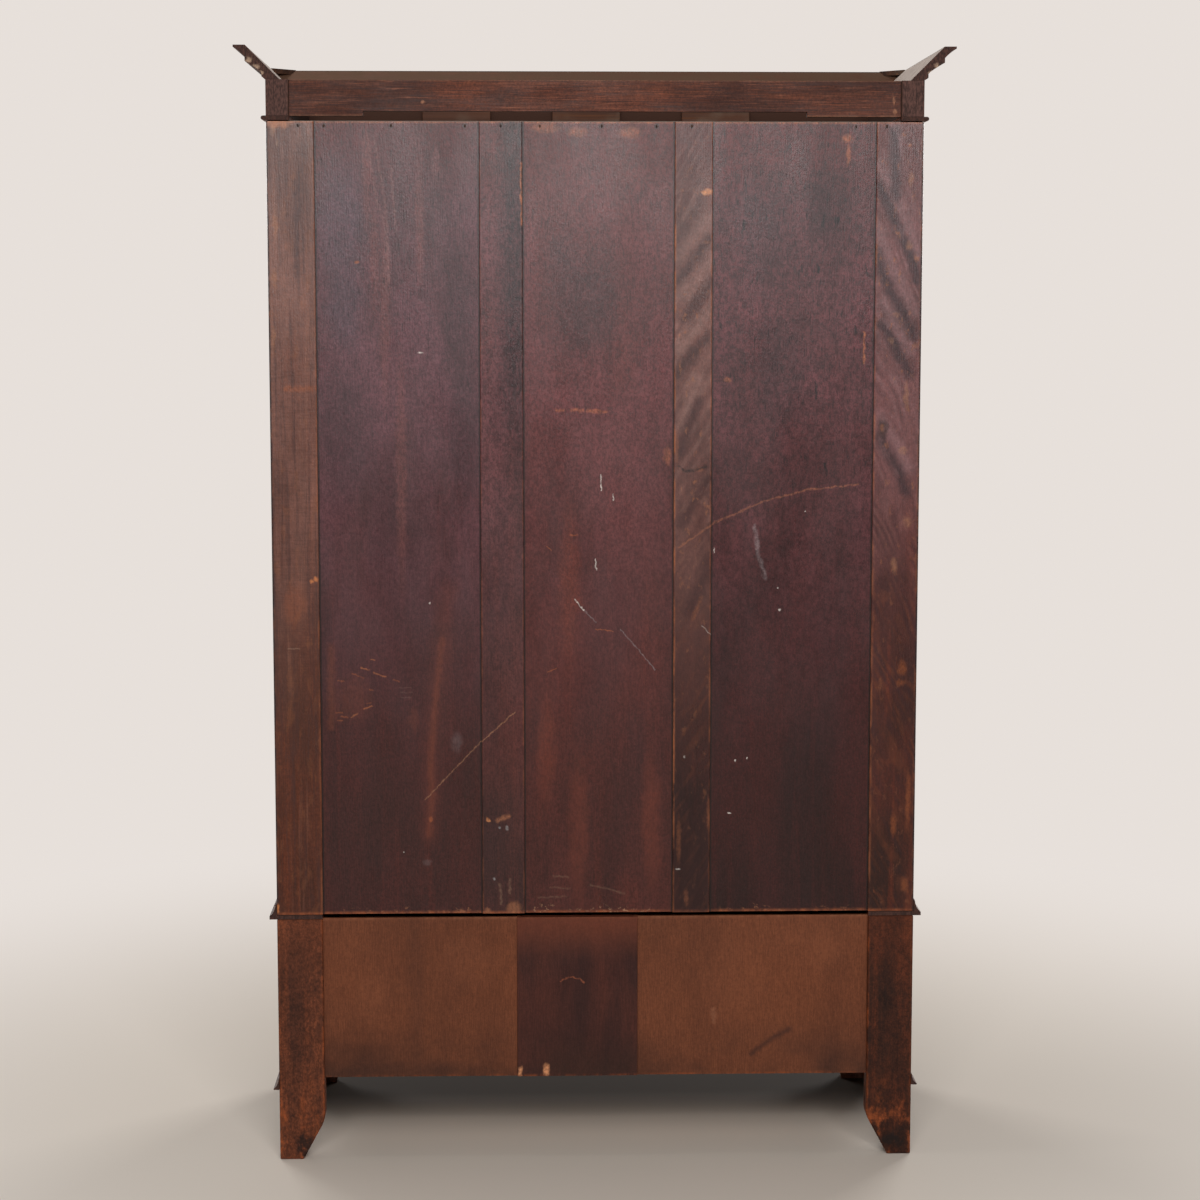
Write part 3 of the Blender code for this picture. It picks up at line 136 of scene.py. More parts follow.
def straight_ray(tree):
    """1 for what the camera or a mirror looks at, 0 for light on its way round the room."""
    ray = add(tree, "LightPath")
    return calc(tree, "MAXIMUM", ray.outputs["Is Camera Ray"], ray.outputs["Is Singular Ray"])


studio_lamp("back_lamp", (-0.10, 5.70, 2.90), (0.0, 0.28, 1.30), 3.4, 1.4, 230.0)
studio_lamp("front_lamp_left", (-2.80, -4.30, 2.60), MIRROR_MIDDLE, 2.2, 1.8, 115.0)
studio_lamp("front_lamp_right", (2.80, -4.30, 2.60), MIRROR_MIDDLE, 2.2, 1.8, 95.0)
studio_lamp("top_lamp", (0.90, 0.05, 3.60), (-0.58, 0.05, 1.98), 0.8, 0.8, 15.0)

floor_paint, floor_tree = begin("studio_floor")
floor_shader = floor_tree.nodes["Principled BSDF"]
floor_shader.inputs["Roughness"].default_value = FLOOR_ROUGHNESS
floor_shader.inputs["Specular IOR Level"].default_value = FLOOR_GLOSS
# Painted shadow: the floor's colour darkens under the base, soft at its edges.
painted_shadow = 1.0
for letter, clear, full in SHADE_EDGES:
    painted_shadow = times(floor_tree, painted_shadow, fade(floor_tree, axis(floor_tree, letter), clear, full))
floor_colour = layer(floor_tree, painted_shadow, FLOOR_COLOUR, FLOOR_SHADE)
floor_tree.links.new(floor_colour, floor_shader.inputs["Base Color"])
floor_reach = add(floor_tree, "VectorMath", {0: here(floor_tree)}, operation="LENGTH").outputs["Value"]
floor_haze = fade(floor_tree, floor_reach, FLOOR_CLEAR, FLOOR_LOST)
floor_lost = times(floor_tree, floor_haze, straight_ray(floor_tree))
floor_far = add(floor_tree, "Emission", {"Color": ROOM_SEEN})
floor_parts = {0: floor_lost, 1: floor_shader.outputs[0], 2: floor_far.outputs[0]}
floor_look = add(floor_tree, "MixShader", floor_parts)
floor_tree.links.new(floor_look.outputs[0], floor_tree.nodes["Material Output"].inputs["Surface"])

bpy.ops.mesh.primitive_plane_add(size=FLOOR_SPREAD, location=(0.0, 0.0, -FLOOR_DROP))
floor = bpy.context.object
floor.name = "studio_floor"
floor.data.materials.append(floor_paint)

room = bpy.data.worlds.new("room")
room.use_nodes = True
bpy.context.scene.world = room
room_tree = room.node_tree
room_glow = room_tree.nodes["Background"]
room_glow.inputs["Color"].default_value = ROOM_GLOW
room_pale = add(room_tree, "Background", {"Color": ROOM_SEEN})
room_parts = {0: straight_ray(room_tree), 1: room_glow.outputs[0], 2: room_pale.outputs[0]}
room_look = add(room_tree, "MixShader", room_parts)
room_tree.links.new(room_look.outputs[0], room_tree.nodes["World Output"].inputs["Surface"])
bpy.context.scene.view_settings.view_transform = "Standard"

# Rear posts of the base
# Two sawn pine posts, cut to a narrow foot on the inside, rubbed over with dark stain and never polished.
# They are glued into the base's sides, and the stain has worn orange and black round the feet.
POST_RIGHT = {"deep": (66, 35, 23), "tone": (118, 63, 38), "warm": (132, 68, 38), "shift": 1.3}
POST_LEFT = {"deep": (44, 22, 13), "tone": (88, 42, 22), "warm": (108, 50, 24), "shift": 4.9}
FOOT_WEAR_TOP = 0.17
FOOT_WEAR_FULL = 0.03
FOOT_ORANGE = (152, 76, 37)
POST_EDGE = 0.006
POST_GLOW_LEVELS = (0.30, 0.46)
SOOT = (26, 17, 15)
FIBRE_SHADE = (120, 110, 106)
GRIT_SHADE = (126, 116, 114)
SAWN_GLOSS = 0.2
NAP_COARSE = (0.017, 0.017, 0.030)
NAP_FINE = (0.0055, 0.0055, 0.0075)


def seen(colour):
    """A colour as the eye reads it, 0 to 255, in the linear light that a shader takes."""
    shares = [part / 255.0 for part in colour]
    linear = [part / 12.92 if part < 0.04045 else ((part + 0.055) / 1.055) ** 2.4 for part in shares]
    return (*linear, 1.0)


def noise(tree, wave, shift=0.0, detail=3.0, roughness=0.55, twist=0.0, turn=0.0, where=None):
    """Soft random pattern whose waves have these sizes along X, Y and Z, turned in the plane of the back."""
    place = {"Vector": where or here(tree), "Location": (shift, 1.7 * shift, 0.6 * shift)}
    laid = add(tree, "Mapping", {**place, "Rotation": (0.0, turn, 0.0), "Scale": wave}, vector_type="TEXTURE")
    ways = {"Scale": 1.0, "Detail": detail, "Roughness": roughness, "Distortion": twist}
    return add(tree, "TexNoise", {"Vector": laid.outputs[0], **ways}).outputs[0]


def drawn(grain, across, along):
    """Wave sizes of a pattern that runs along the grain."""
    return tuple(along if letter == grain else across for letter in "XYZ")


def stain(tree, grain, deep, tone, warm, shift, streaky=0.4, gritty=0.42):
    """Dark stain on softwood: soft clouds, streaks where it wore thin or ran dark, fine grit and fibres."""
    cloud = noise(tree, drawn(grain, 0.12, 0.34), shift, roughness=0.5, twist=0.4)
    colour = layer(tree, fade(tree, cloud, 0.34, 0.66), seen(deep), seen(tone))
    streak = noise(tree, drawn(grain, 0.021, 0.50), shift + 3.1, twist=0.7)
    colour = layer(tree, fade(tree, streak, 0.48, 0.72, 0.0, streaky), colour, seen(warm))
    run = noise(tree, drawn(grain, 0.016, 0.32), shift + 7.7, twist=0.7)
    colour = layer(tree, fade(tree, run, 0.50, 0.74, 0.0, streaky), colour, seen(deep))
    fibre = noise(tree, drawn(grain, 0.0017, 0.030), shift, detail=2.0)
    colour = layer(tree, fade(tree, fibre, 0.62, 0.38, 0.0, 0.22), colour, seen(FIBRE_SHADE), "MULTIPLY")
    grit = noise(tree, (0.0036, 0.0036, 0.0048), shift + 5.0, detail=5.0, roughness=0.6)
    colour = layer(tree, fade(tree, grit, 0.64, 0.34, 0.0, gritty), colour, seen(GRIT_SHADE), "MULTIPLY")
    pore = noise(tree, drawn(grain, 0.0009, 0.009), shift + 1.9, detail=2.0)
    colour = layer(tree, fade(tree, pore, 0.64, 0.72, 0.0, 0.45), colour, seen(SOOT))
    return colour, calc(tree, "ADD", fibre, times(tree, grit, 0.7))


def weave(tree, colour, depth, shift, low=None):
    """Uneven nap over a board, darker and lighter by up to this share, weaker below a level if given one."""
    if low is not None:
        depth = fade(tree, axis(tree, "Z"), low, low + 1.0, 0.25 * depth, depth)
    for wave, share, roughness in ((NAP_COARSE, 0.38, 0.5), (NAP_FINE, 1.0, 0.9)):
        nap = noise(tree, wave, shift + 13.0, detail=2.0, roughness=roughness)
        part = times(tree, depth, share)
        ends = calc(tree, "SUBTRACT", 1.0, part), calc(tree, "ADD", 1.0, part)
        colour = layer(tree, 1.0, colour, fade(tree, nap, 0.30, 0.70, *ends), "MULTIPLY")
    return colour


def rub(tree, colour, letter, inner, edge, bare, shift, strength=1.0, least=0.0):
    """Stain worn off in ragged patches between a line and an edge, at least this share of it all along."""
    near = fade(tree, axis(tree, letter), inner, edge)
    ragged = noise(tree, (0.016, 0.016, 0.05), shift, detail=5.0, roughness=0.65)
    patchy = fade(tree, ragged, 0.40, 0.64, least * strength, strength)
    return layer(tree, times(tree, near, patchy), colour, seen(bare))


def shaded(tree, colour, tone, strength, low, high):
    """A tone that comes in from one level to another, up to some strength."""
    return layer(tree, fade(tree, axis(tree, "Z"), low, high, 0.0, strength), colour, seen(tone))


def close_finish(tree, colour, roughness, height, relief, gloss=0.5):
    """Wire a finish's colour, roughness and relief in metres to its shader, and give the shader back."""
    shader = tree.nodes["Principled BSDF"]
    shader.inputs["Specular IOR Level"].default_value = gloss
    bump = add(tree, "Bump", {"Strength": 1.0, "Distance": relief, "Height": height})
    tree.links.new(colour, shader.inputs["Base Color"])
    tree.links.new(roughness, shader.inputs["Roughness"])
    tree.links.new(bump.outputs[0], shader.inputs["Normal"])
    return shader


def dress(node_name, finish, *details, **more):
    """Give a piece of the frame a finish of its own."""
    material = finish(node_name, *details, **more)
    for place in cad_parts[node_name].material_slots:
        place.material = material


def post_finish(name, deep, tone, warm, shift):
    material, tree = begin(name)
    colour, fibre = stain(tree, "Z", deep, tone, warm, shift, 0.5)
    mottle = noise(tree, (0.018, 0.018, 0.034), shift + 6.0, detail=5.0, roughness=0.6)
    colour = layer(tree, fade(tree, mottle, 0.46, 0.66, 0.0, 0.6), colour, seen(deep))
    low = fade(tree, axis(tree, "Z"), FOOT_WEAR_TOP, FOOT_WEAR_FULL)
    blot = noise(tree, (0.030, 0.030, 0.042), shift, detail=5.0, roughness=0.6)
    orange = times(tree, low, fade(tree, blot, 0.48, 0.66, 0.0, 0.85))
    colour = layer(tree, orange, colour, seen(FOOT_ORANGE))
    soot = times(tree, low, fade(tree, blot, 0.46, 0.34, 0.0, 0.85))
    colour = layer(tree, soot, colour, seen(SOOT))
    start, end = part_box(name)
    inner, outer = sorted((start.x, end.x), key=abs)
    reach = math.copysign(POST_EDGE, inner)
    colour = rub(tree, colour, "X", inner + reach, inner, FOOT_ORANGE, shift + 2.0, 0.55)
    colour = rub(tree, colour, "X", outer - reach, outer, FOOT_ORANGE, shift + 5.0, 0.30)
    colour = shaded(tree, colour, warm, 0.35, *POST_GLOW_LEVELS)
    colour = weave(tree, colour, 0.35, shift)
    close_finish(tree, colour, fade(tree, blot, 0.3, 0.7, 0.50, 0.64), fibre, 0.0006, SAWN_GLOSS)
    return material


dress("base_post_right", post_finish, **POST_RIGHT)
dress("base_post_left", post_finish, **POST_LEFT)

# Back boards of the base
# A wide darker board in the middle with a thin pine panel let in on either side of it, all sawn and stained.
# Their lower edges are chipped, and the panels have kept a paler, flatter brown than the carcass above.
BASE_PANEL = {"deep": (104, 57, 35), "tone": (117, 65, 40), "warm": (122, 68, 42)}
BASE_CENTRE = {"deep": (57, 30, 26), "tone": (84, 42, 32), "warm": (92, 45, 32)}
BASE_CENTRE_TOP = (108, 54, 34)
BASE_TOP_EDGE = (150, 98, 70)
BASE_GRIME = (52, 32, 25)
BARE_WOOD = (206, 140, 98)
PALE_STAIN = (150, 88, 58)
MEASURES = ("DOT_PRODUCT", "LENGTH", "DISTANCE")
BROAD_MARK = 0.008
LEAST_WANDER = 0.002


def vector(tree, operation, first, second=(0.0, 0.0, 0.0), scale=1.0):
    """Sum on places in metres: gives a place, or a number where the operation measures one."""
    made = add(tree, "VectorMath", {0: first, 1: second, 3: scale}, operation=operation)
    return made.outputs[1 if operation in MEASURES else 0]


def flat(tree, wander):
    """Place on the back in X and Z, shaken by up to half this much so that no mark has a ruled edge."""
    grain = min(220.0, 0.5 / wander)
    shake = add(tree, "TexNoise", {"Vector": here(tree), "Scale": grain, "Detail": 4.0}).outputs["Color"]
    centred = vector(tree, "SUBTRACT", shake, (0.5, 0.5, 0.5))
    moved = vector(tree, "ADD", here(tree), vector(tree, "SCALE", centred, scale=2.0 * wander))
    return vector(tree, "MULTIPLY", moved, (1.0, 0.0, 1.0))


def nearest_of(tree, distances):
    nearest = distances[0]
    for distance in distances[1:]:
        nearest = calc(tree, "MINIMUM", nearest, distance)
    return nearest


def put_mark(tree, colour, tone, strength, shape, least):
    """Lay a mark's tone over the stain, worn down here and there to this share of it."""
    worn = fade(tree, noise(tree, (0.005, 0.005, 0.007), 2.2, roughness=0.7), 0.30, 0.60, least, 1.0)
    return layer(tree, times(tree, times(tree, shape, worn), strength), colour, seen(tone))


def strokes(tree, colour, tone, strength, width, *lines):
    """Scratches, smears or streaks of one tone and half width, each a line through points in X and Z."""
    broad = width > BROAD_MARK
    spot_on = flat(tree, (0.3 if broad else 0.7) * width + LEAST_WANDER)
    distances = []
    for line in lines:
        for start, end in zip(line, line[1:]):
            foot = Vector((start[0], 0.0, start[1]))
            run = Vector((end[0], 0.0, end[1])) - foot
            offset = vector(tree, "SUBTRACT", spot_on, foot)
            share = vector(tree, "DOT_PRODUCT", offset, run / run.length_squared)
            along = vector(tree, "SCALE", run, scale=add(tree, "Clamp", {0: share}).outputs[0])
            distances.append(vector(tree, "DISTANCE", offset, along))
    shape = fade(tree, nearest_of(tree, distances), width, 0.0)
    return put_mark(tree, colour, tone, strength, shape, 0.8 if broad else 0.35)


def off_ovals(tree, wander, ovals):
    """How far off the nearest oval is, 1 on its rim. Ovals are (x, z, half the width, half the height)."""
    spot_on = flat(tree, wander)
    distances = []
    for x, z, wide, tall in ovals:
        offset = vector(tree, "SUBTRACT", spot_on, (x, 0.0, z))
        scaled = vector(tree, "MULTIPLY", offset, (1.0 / wide, 0.0, 1.0 / tall))
        distances.append(vector(tree, "LENGTH", scaled))
    return nearest_of(tree, distances)


def spots(tree, colour, tone, strength, *ovals):
    """Chips, knots, glows or splashes of one tone, each an oval."""
    smallest = min(min(oval[2:]) for oval in ovals)
    away = off_ovals(tree, 0.6 * smallest + LEAST_WANDER, ovals)
    return put_mark(tree, colour, tone, strength, fade(tree, away, 1.15, 0.3), 0.5)


def marked(tree, colour, marks):
    """Lay marks over a colour in turn, each the function that draws it and the values that it takes."""
    for draw, *values in marks:
        colour = draw(tree, colour, *values)
    return colour


def base_board_finish(name, deep, tone, warm, shift, marks):
    material, tree = begin(name)
    colour, fibre = stain(tree, "Z", deep, tone, warm, shift, 0.12, 0.14)
    low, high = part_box(name)
    colour = rub(tree, colour, "Z", low.z + 0.006, low.z, FOOT_ORANGE, shift, 0.8)
    colour = rub(tree, colour, "Z", high.z - 0.007, high.z, BASE_TOP_EDGE, shift + 1.0, 0.4, 0.3)
    grime = noise(tree, (0.16, 0.16, 0.09), shift + 4.0, detail=4.0)
    lower = fade(tree, axis(tree, "Z"), 0.27, 0.15)
    dirty = times(tree, lower, fade(tree, grime, 0.35, 0.65, 0.15, 0.75))
    colour = layer(tree, dirty, colour, seen(BASE_GRIME))
    colour = marked(tree, colour, marks.values())
    colour = weave(tree, colour, 0.10, shift)
    close_finish(tree, colour, fade(tree, grime, 0.3, 0.7, 0.52, 0.66), fibre, 0.0004, SAWN_GLOSS)
    return material


BASE_RIGHT_MARKS = {
    "pale clouds": (spots, PALE_STAIN, 0.16, (0.235, 0.372, 0.060, 0.060), (0.410, 0.300, 0.040, 0.080)),
    "dark band": (strokes, (70, 40, 28), 0.32, 0.022, [(0.330, 0.170), (0.327, 0.300), (0.332, 0.440)]),
}
BASE_LEFT_MARKS = {
    "pale clouds": (spots, PALE_STAIN, 0.14, (-0.250, 0.330, 0.080, 0.100), (-0.420, 0.390, 0.050, 0.050)),
    "smudge": (strokes, (46, 28, 24), 0.6, 0.009, [(-0.286, 0.190), (-0.318, 0.214), (-0.356, 0.236)]),
    "pale dab": (strokes, (150, 98, 72), 0.5, 0.007, [(-0.216, 0.272), (-0.217, 0.250)]),
}
BASE_CENTRE_MARKS = {
    "warm top": (shaded, BASE_CENTRE_TOP, 0.7, 0.36, 0.45),
    "chips": (spots, BARE_WOOD, 1.0, (0.139, 0.160, 0.0050, 0.012), (0.091, 0.163, 0.0070, 0.015)),
    "arc": (
        strokes, (150, 84, 56), 0.7, 0.0024,
        [(0.066, 0.329), (0.056, 0.335), (0.044, 0.337), (0.030, 0.334), (0.022, 0.326)],
    ),
}
dress("base_board_right", base_board_finish, **BASE_PANEL, shift=2.4, marks=BASE_RIGHT_MARKS)
dress("base_board_left", base_board_finish, **BASE_PANEL, shift=6.1, marks=BASE_LEFT_MARKS)
dress("base_board_centre", base_board_finish, **BASE_CENTRE, shift=8.8, marks=BASE_CENTRE_MARKS)

# Base front and sides
# Mahogany boards with bracket feet cut in their lower edges, and a narrow rail above the drawer.
# All are French polished: a clear shellac gloss over open red-brown grain, rubbed dull near the floor.
MAHOGANY_DEEP = (58, 22, 14)
MAHOGANY_TONE = (116, 52, 30)
MAHOGANY_WARM = (150, 76, 42)
MAHOGANY_PORE = (30, 12, 9)
PORE_DEPTH = 0.0003
POLISH_WEIGHT = 0.55
POLISH_ROUGHNESS = 0.14
BARE_ROUGHNESS = 0.85
BARE_GLOSS = 0.35
SCUFF_PALE = (140, 88, 60)
SCUFF_TOP = 0.030


def mahogany_layers(tree, grain, shift, where=None):
    """Ribbon-striped mahogany: broad stripes, fine lines, a cross ripple that catches light, open pores."""
    ribbon = noise(tree, drawn(grain, 0.028, 0.55), shift, detail=4.0, twist=0.5, where=where)
    colour = layer(tree, fade(tree, ribbon, 0.30, 0.70), seen(MAHOGANY_DEEP), seen(MAHOGANY_TONE))
    line = noise(tree, drawn(grain, 0.0050, 0.30), shift + 2.3, detail=4.0, twist=0.3, where=where)
    colour = layer(tree, fade(tree, line, 0.48, 0.72, 0.0, 0.6), colour, seen(MAHOGANY_WARM))
    cross = noise(tree, drawn(grain, 0.075, 0.016), shift + 5.1, detail=2.0, twist=0.4, where=where)
    colour = layer(tree, fade(tree, cross, 0.42, 0.64, 0.0, 0.30), colour, seen(MAHOGANY_DEEP))
    pore = noise(tree, drawn(grain, 0.0008, 0.011), shift + 1.1, detail=2.0, where=where)
    colour = layer(tree, fade(tree, pore, 0.57, 0.66, 0.0, 0.7), colour, seen(MAHOGANY_PORE))
    return colour, pore


def polish(tree, colour, pore, shift, dull=None):
    """Shellac over the wood, glossy with a faint cloud in it, and none where dull says that it is bare."""
    handled = noise(tree, (0.11, 0.11, 0.11), shift + 9.0, detail=4.0)
    roughness = fade(tree, handled, 0.3, 0.7, 0.26, 0.42)
    if dull is None:
        shader = close_finish(tree, colour, roughness, pore, -PORE_DEPTH)
        shader.inputs["Coat Weight"].default_value = POLISH_WEIGHT
        shader.inputs["Coat Roughness"].default_value = POLISH_ROUGHNESS
    else:
        roughness = calc(tree, "MAXIMUM", roughness, times(tree, dull, BARE_ROUGHNESS))
        close_finish(tree, colour, roughness, pore, -PORE_DEPTH, BARE_GLOSS)


def mahogany(name, grain, shift, run=None):
    """Polished mahogany. A frame's run gives the place along its own grain."""
    material, tree = begin(name)
    colour, pore = mahogany_layers(tree, grain, shift, run and run(tree, name))
    polish(tree, colour, pore, shift)
    return material


def scuffed_mahogany(name, grain, shift):
    """The same with its lower edge scuffed dull and pale where shoes and brooms reach it."""
    material, tree = begin(name)
    colour, pore = mahogany_layers(tree, grain, shift)
    colour = rub(tree, colour, "Z", SCUFF_TOP, 0.0, SCUFF_PALE, shift, 0.7)
    polish(tree, colour, pore, shift)
    return material


dress("base_side_left", scuffed_mahogany, "Y", 2.0)
dress("base_side_right", scuffed_mahogany, "Y", 7.3)
dress("base_apron", scuffed_mahogany, "X", 4.4)
dress("base_top_rail", mahogany, "X", 5.6)

# Waist and plinth mouldings
# Cove mouldings stuck from solid mahogany and mitred round the front and both sides of the base. The waist's
# flat strip carries the carcass, and its ends show as bare sawn wood at the back.
HALF_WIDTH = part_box("back_stile_right")[1].x
BACK_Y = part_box("back_stile_right")[1].y
FRONT_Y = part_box("door_stile_left")[0].y
END_WOOD = (74, 46, 38)
END_DEPTH = 0.0012
WAIST_SEAM_X = 0.5465
SEAM_WIDTH = 0.0007


def picked(tree, mask, place, other):
    """One place where the mask is 0 and the other where it is 1."""
    return add(tree, "Mix", {0: mask, 4: place, 5: other}, data_type="VECTOR").outputs[1]


def mitred_run(tree):
    """Place along a moulding that runs across the front and back along each side, turning at its mitres."""
    aside = calc(tree, "SUBTRACT", calc(tree, "ABSOLUTE", axis(tree, "X")), HALF_WIDTH)
    ahead = calc(tree, "SUBTRACT", FRONT_Y, axis(tree, "Y"))
    along_side = {0: axis(tree, "Y"), 1: axis(tree, "X"), 2: axis(tree, "Z")}
    turned = add(tree, "CombineXYZ", along_side).outputs[0]
    return picked(tree, calc(tree, "GREATER_THAN", ahead, aside), turned, here(tree))


def end_wood(tree, colour, tone, shift):
    """Unpolished end grain where a length is sawn off flush with the back, and the mask of that end."""
    rear = fade(tree, axis(tree, "Y"), BACK_Y - END_DEPTH, BACK_Y - 0.5 * END_DEPTH)
    ring = noise(tree, (0.0026, 0.0026, 0.0075), shift, detail=4.0, roughness=0.6)
    sawn = layer(tree, fade(tree, ring, 0.36, 0.64, 0.30, 1.0), seen(SOOT), seen(tone))
    return layer(tree, rear, colour, sawn), rear


def end_seam(tree, colour, seam_x, strength):
    """Dark glue line at the same distance from the middle on both ends."""
    off_seam = calc(tree, "SUBTRACT", calc(tree, "ABSOLUTE", axis(tree, "X")), seam_x)
    seam = fade(tree, calc(tree, "ABSOLUTE", off_seam), SEAM_WIDTH, 0.0, 0.0, strength)
    return layer(tree, seam, colour, seen(SOOT))


def moulding_finish(name, shift, seam_x=None):
    material, tree = begin(name)
    colour, pore = mahogany_layers(tree, "X", shift, mitred_run(tree))
    colour, dull = end_wood(tree, colour, END_WOOD, shift)
    if seam_x:
        colour = end_seam(tree, colour, seam_x, 0.9)
    polish(tree, colour, pore, shift, dull)
    return material


dress("waist_frame", moulding_finish, 3.3, WAIST_SEAM_X)
dress("plinth_moulding", moulding_finish, 6.4)

# Drawer bearer
# Pine runners joined by a rail at the back. They were planed and left unfinished, and have gone brown with
# age and dust.
PINE_PALE = (196, 152, 100)
PINE_DEEP = (150, 100, 58)
PINE_LINE = (126, 76, 40)
PINE_DUST = (120, 104, 88)
BEARER_PALE = (150, 104, 66)
BEARER_DEEP = (104, 66, 40)


def pine(name, grain, shift, pale=PINE_PALE, deep=PINE_DEEP):
    """Bare pine gone honey-brown: soft bands of summer wood, thin dark growth lines and a little dust."""
    material, tree = begin(name)
    band = noise(tree, drawn(grain, 0.020, 0.70), shift, detail=3.0, twist=0.6)
    colour = layer(tree, fade(tree, band, 0.30, 0.70), seen(deep), seen(pale))
    growth = noise(tree, drawn(grain, 0.0042, 0.40), shift + 1.4, detail=3.0, twist=0.5)
    colour = layer(tree, fade(tree, growth, 0.56, 0.70, 0.0, 0.55), colour, seen(PINE_LINE))
    dust = noise(tree, (0.09, 0.09, 0.09), shift + 6.0, detail=5.0)
    colour = layer(tree, fade(tree, dust, 0.50, 0.75, 0.0, 0.45), colour, seen(PINE_DUST))
    close_finish(tree, colour, fade(tree, growth, 0.3, 0.7, 0.58, 0.74), growth, 0.0003, SAWN_GLOSS)
    return material


dress("drawer_bearer", pine, "Y", 1.2, BEARER_PALE, BEARER_DEEP)

# Carcass sides, top and bottom
# Wide boards: the sides polished mahogany outside and thinly stained inside, the top and bottom stained pine.
# The top carries decades of dust inside the cornice.
INSIDE_DEEP = (86, 46, 31)
INSIDE_TONE = (104, 57, 37)
INSIDE_WARM = (116, 65, 42)
LAID_DUST = (136, 122, 110)
SKIN = 0.0025


def inside_stain(tree, grain, shift):
    """Thin even stain of the inside, and its fibres."""
    return stain(tree, grain, INSIDE_DEEP, INSIDE_TONE, INSIDE_WARM, shift)


def carcass_side_finish(name, shift):
    """Polished outside, plain stain inside."""
    material, tree = begin(name)
    outside, pore = mahogany_layers(tree, "Z", shift)
    aside = calc(tree, "ABSOLUTE", axis(tree, "X"))
    polished = fade(tree, aside, HALF_WIDTH - 2.0 * SKIN, HALF_WIDTH - SKIN)
    colour = layer(tree, polished, inside_stain(tree, "Z", shift)[0], outside)
    polish(tree, colour, pore, shift)
    return material


def dusty_stain(name, grain, shift, strength):
    """Stained board whose upper face lies under a coat of grey dust."""
    material, tree = begin(name)
    colour, fibre = inside_stain(tree, grain, shift)
    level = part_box(name)[1].z
    drift = noise(tree, (0.13, 0.13, 0.13), shift, detail=5.0)
    lies = fade(tree, axis(tree, "Z"), level - 0.002, level - 0.0005)
    amount = times(tree, lies, fade(tree, drift, 0.25, 0.70, 0.4 * strength, strength))
    colour = layer(tree, amount, colour, seen(LAID_DUST))
    close_finish(tree, colour, fade(tree, drift, 0.3, 0.7, 0.52, 0.74), fibre, 0.0006)
    return material


dress("carcass_side_left", carcass_side_finish, 3.7)
dress("carcass_side_right", carcass_side_finish, 8.2)
dress("carcass_top", dusty_stain, "X", 2.9, 0.9)
dress("carcass_bottom", dusty_stain, "X", 5.2, 0.25)

# Uprights of the carcass's back
# Two stiles and two muntins of pine, grooved for the panels and nailed to the carcass. Their stain has
# bloomed grey at the top, a grey that is partly painted sheen, shows warm streaks lower down, and has rubbed
# through to orange along the edges.
# Levels of the grey bloom, which is partly a painted sheen, strongest high on the back.
BLOOM_AND_SHEEN_FROM = 0.58
BLOOM_AND_SHEEN_FULL = 1.52
BLOOM_AND_SHEEN_EBB = 1.70
BOARD_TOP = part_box("back_panel_centre")[1].z
# Red-brown painted shade over the top edge, which takes some of the grey sheen off it.
TOP_SHEEN_SHADE = (84, 22, 18)
BACK_SHEEN = 0.32
BACK_GLOSS = 0.30
BACK_RELIEF = 0.00028
NAP_FROM = 0.50
FOOT_RUB = 0.007
HEAD_RUB = 0.0045
NAIL_X = [0.524, 0.479, 0.361, 0.231, 0.168, 0.099, -0.010, -0.107, -0.169, -0.460, -0.514]
NAIL_Z = BOARD_TOP - 0.0075
NAIL_STAIN = (0.0050, 0.0065)
# Painted highlights lie this far above the figure's dark bands, on bands that start above this level.
HIGHLIGHT_RISE = 0.042
HIGHLIGHT_FROM = 1.28
RIPPLE_CHIP = (146, 90, 58)
# Tone of the painted shadow down the back's two outer edges.
EDGE_SHADOW_TONE = (28, 25, 30)
RUBBED = (160, 94, 58)
PALE_SCRATCH = (214, 204, 196)
ORANGE_MARK = (158, 86, 50)
SCRATCH_TAN = (164, 118, 88)
DIAGONAL_SCRATCH = [(0.310, 0.668), (0.214, 0.768), (0.147, 0.828)]
ARC_SCRATCH = [(-0.148, 1.126), (-0.213, 1.170), (-0.300, 1.208), (-0.380, 1.229), (-0.470, 1.238)]


def off(tree, letter, middle):
    """Distance to either side of a plane across one axis."""
    return calc(tree, "ABSOLUTE", calc(tree, "SUBTRACT", axis(tree, letter), middle))


def bloom_and_sheen(tree, colour, tone, shift):
    """Film that damp air leaves in old stain, partly a painted sheen, in soft patches, thickest a little
    below the upper edge.
    """
    rise = fade(tree, axis(tree, "Z"), BLOOM_AND_SHEEN_FROM, BLOOM_AND_SHEEN_FULL)
    ebb = fade(tree, axis(tree, "Z"), BLOOM_AND_SHEEN_EBB, BOARD_TOP, 1.0, 0.50)
    patch = noise(tree, (0.11, 0.11, 0.22), shift + 11.0, detail=4.0, twist=0.3)
    amount = times(tree, times(tree, rise, ebb), fade(tree, patch, 0.34, 0.64, 0.45, 0.90))
    return layer(tree, amount, colour, seen(tone))


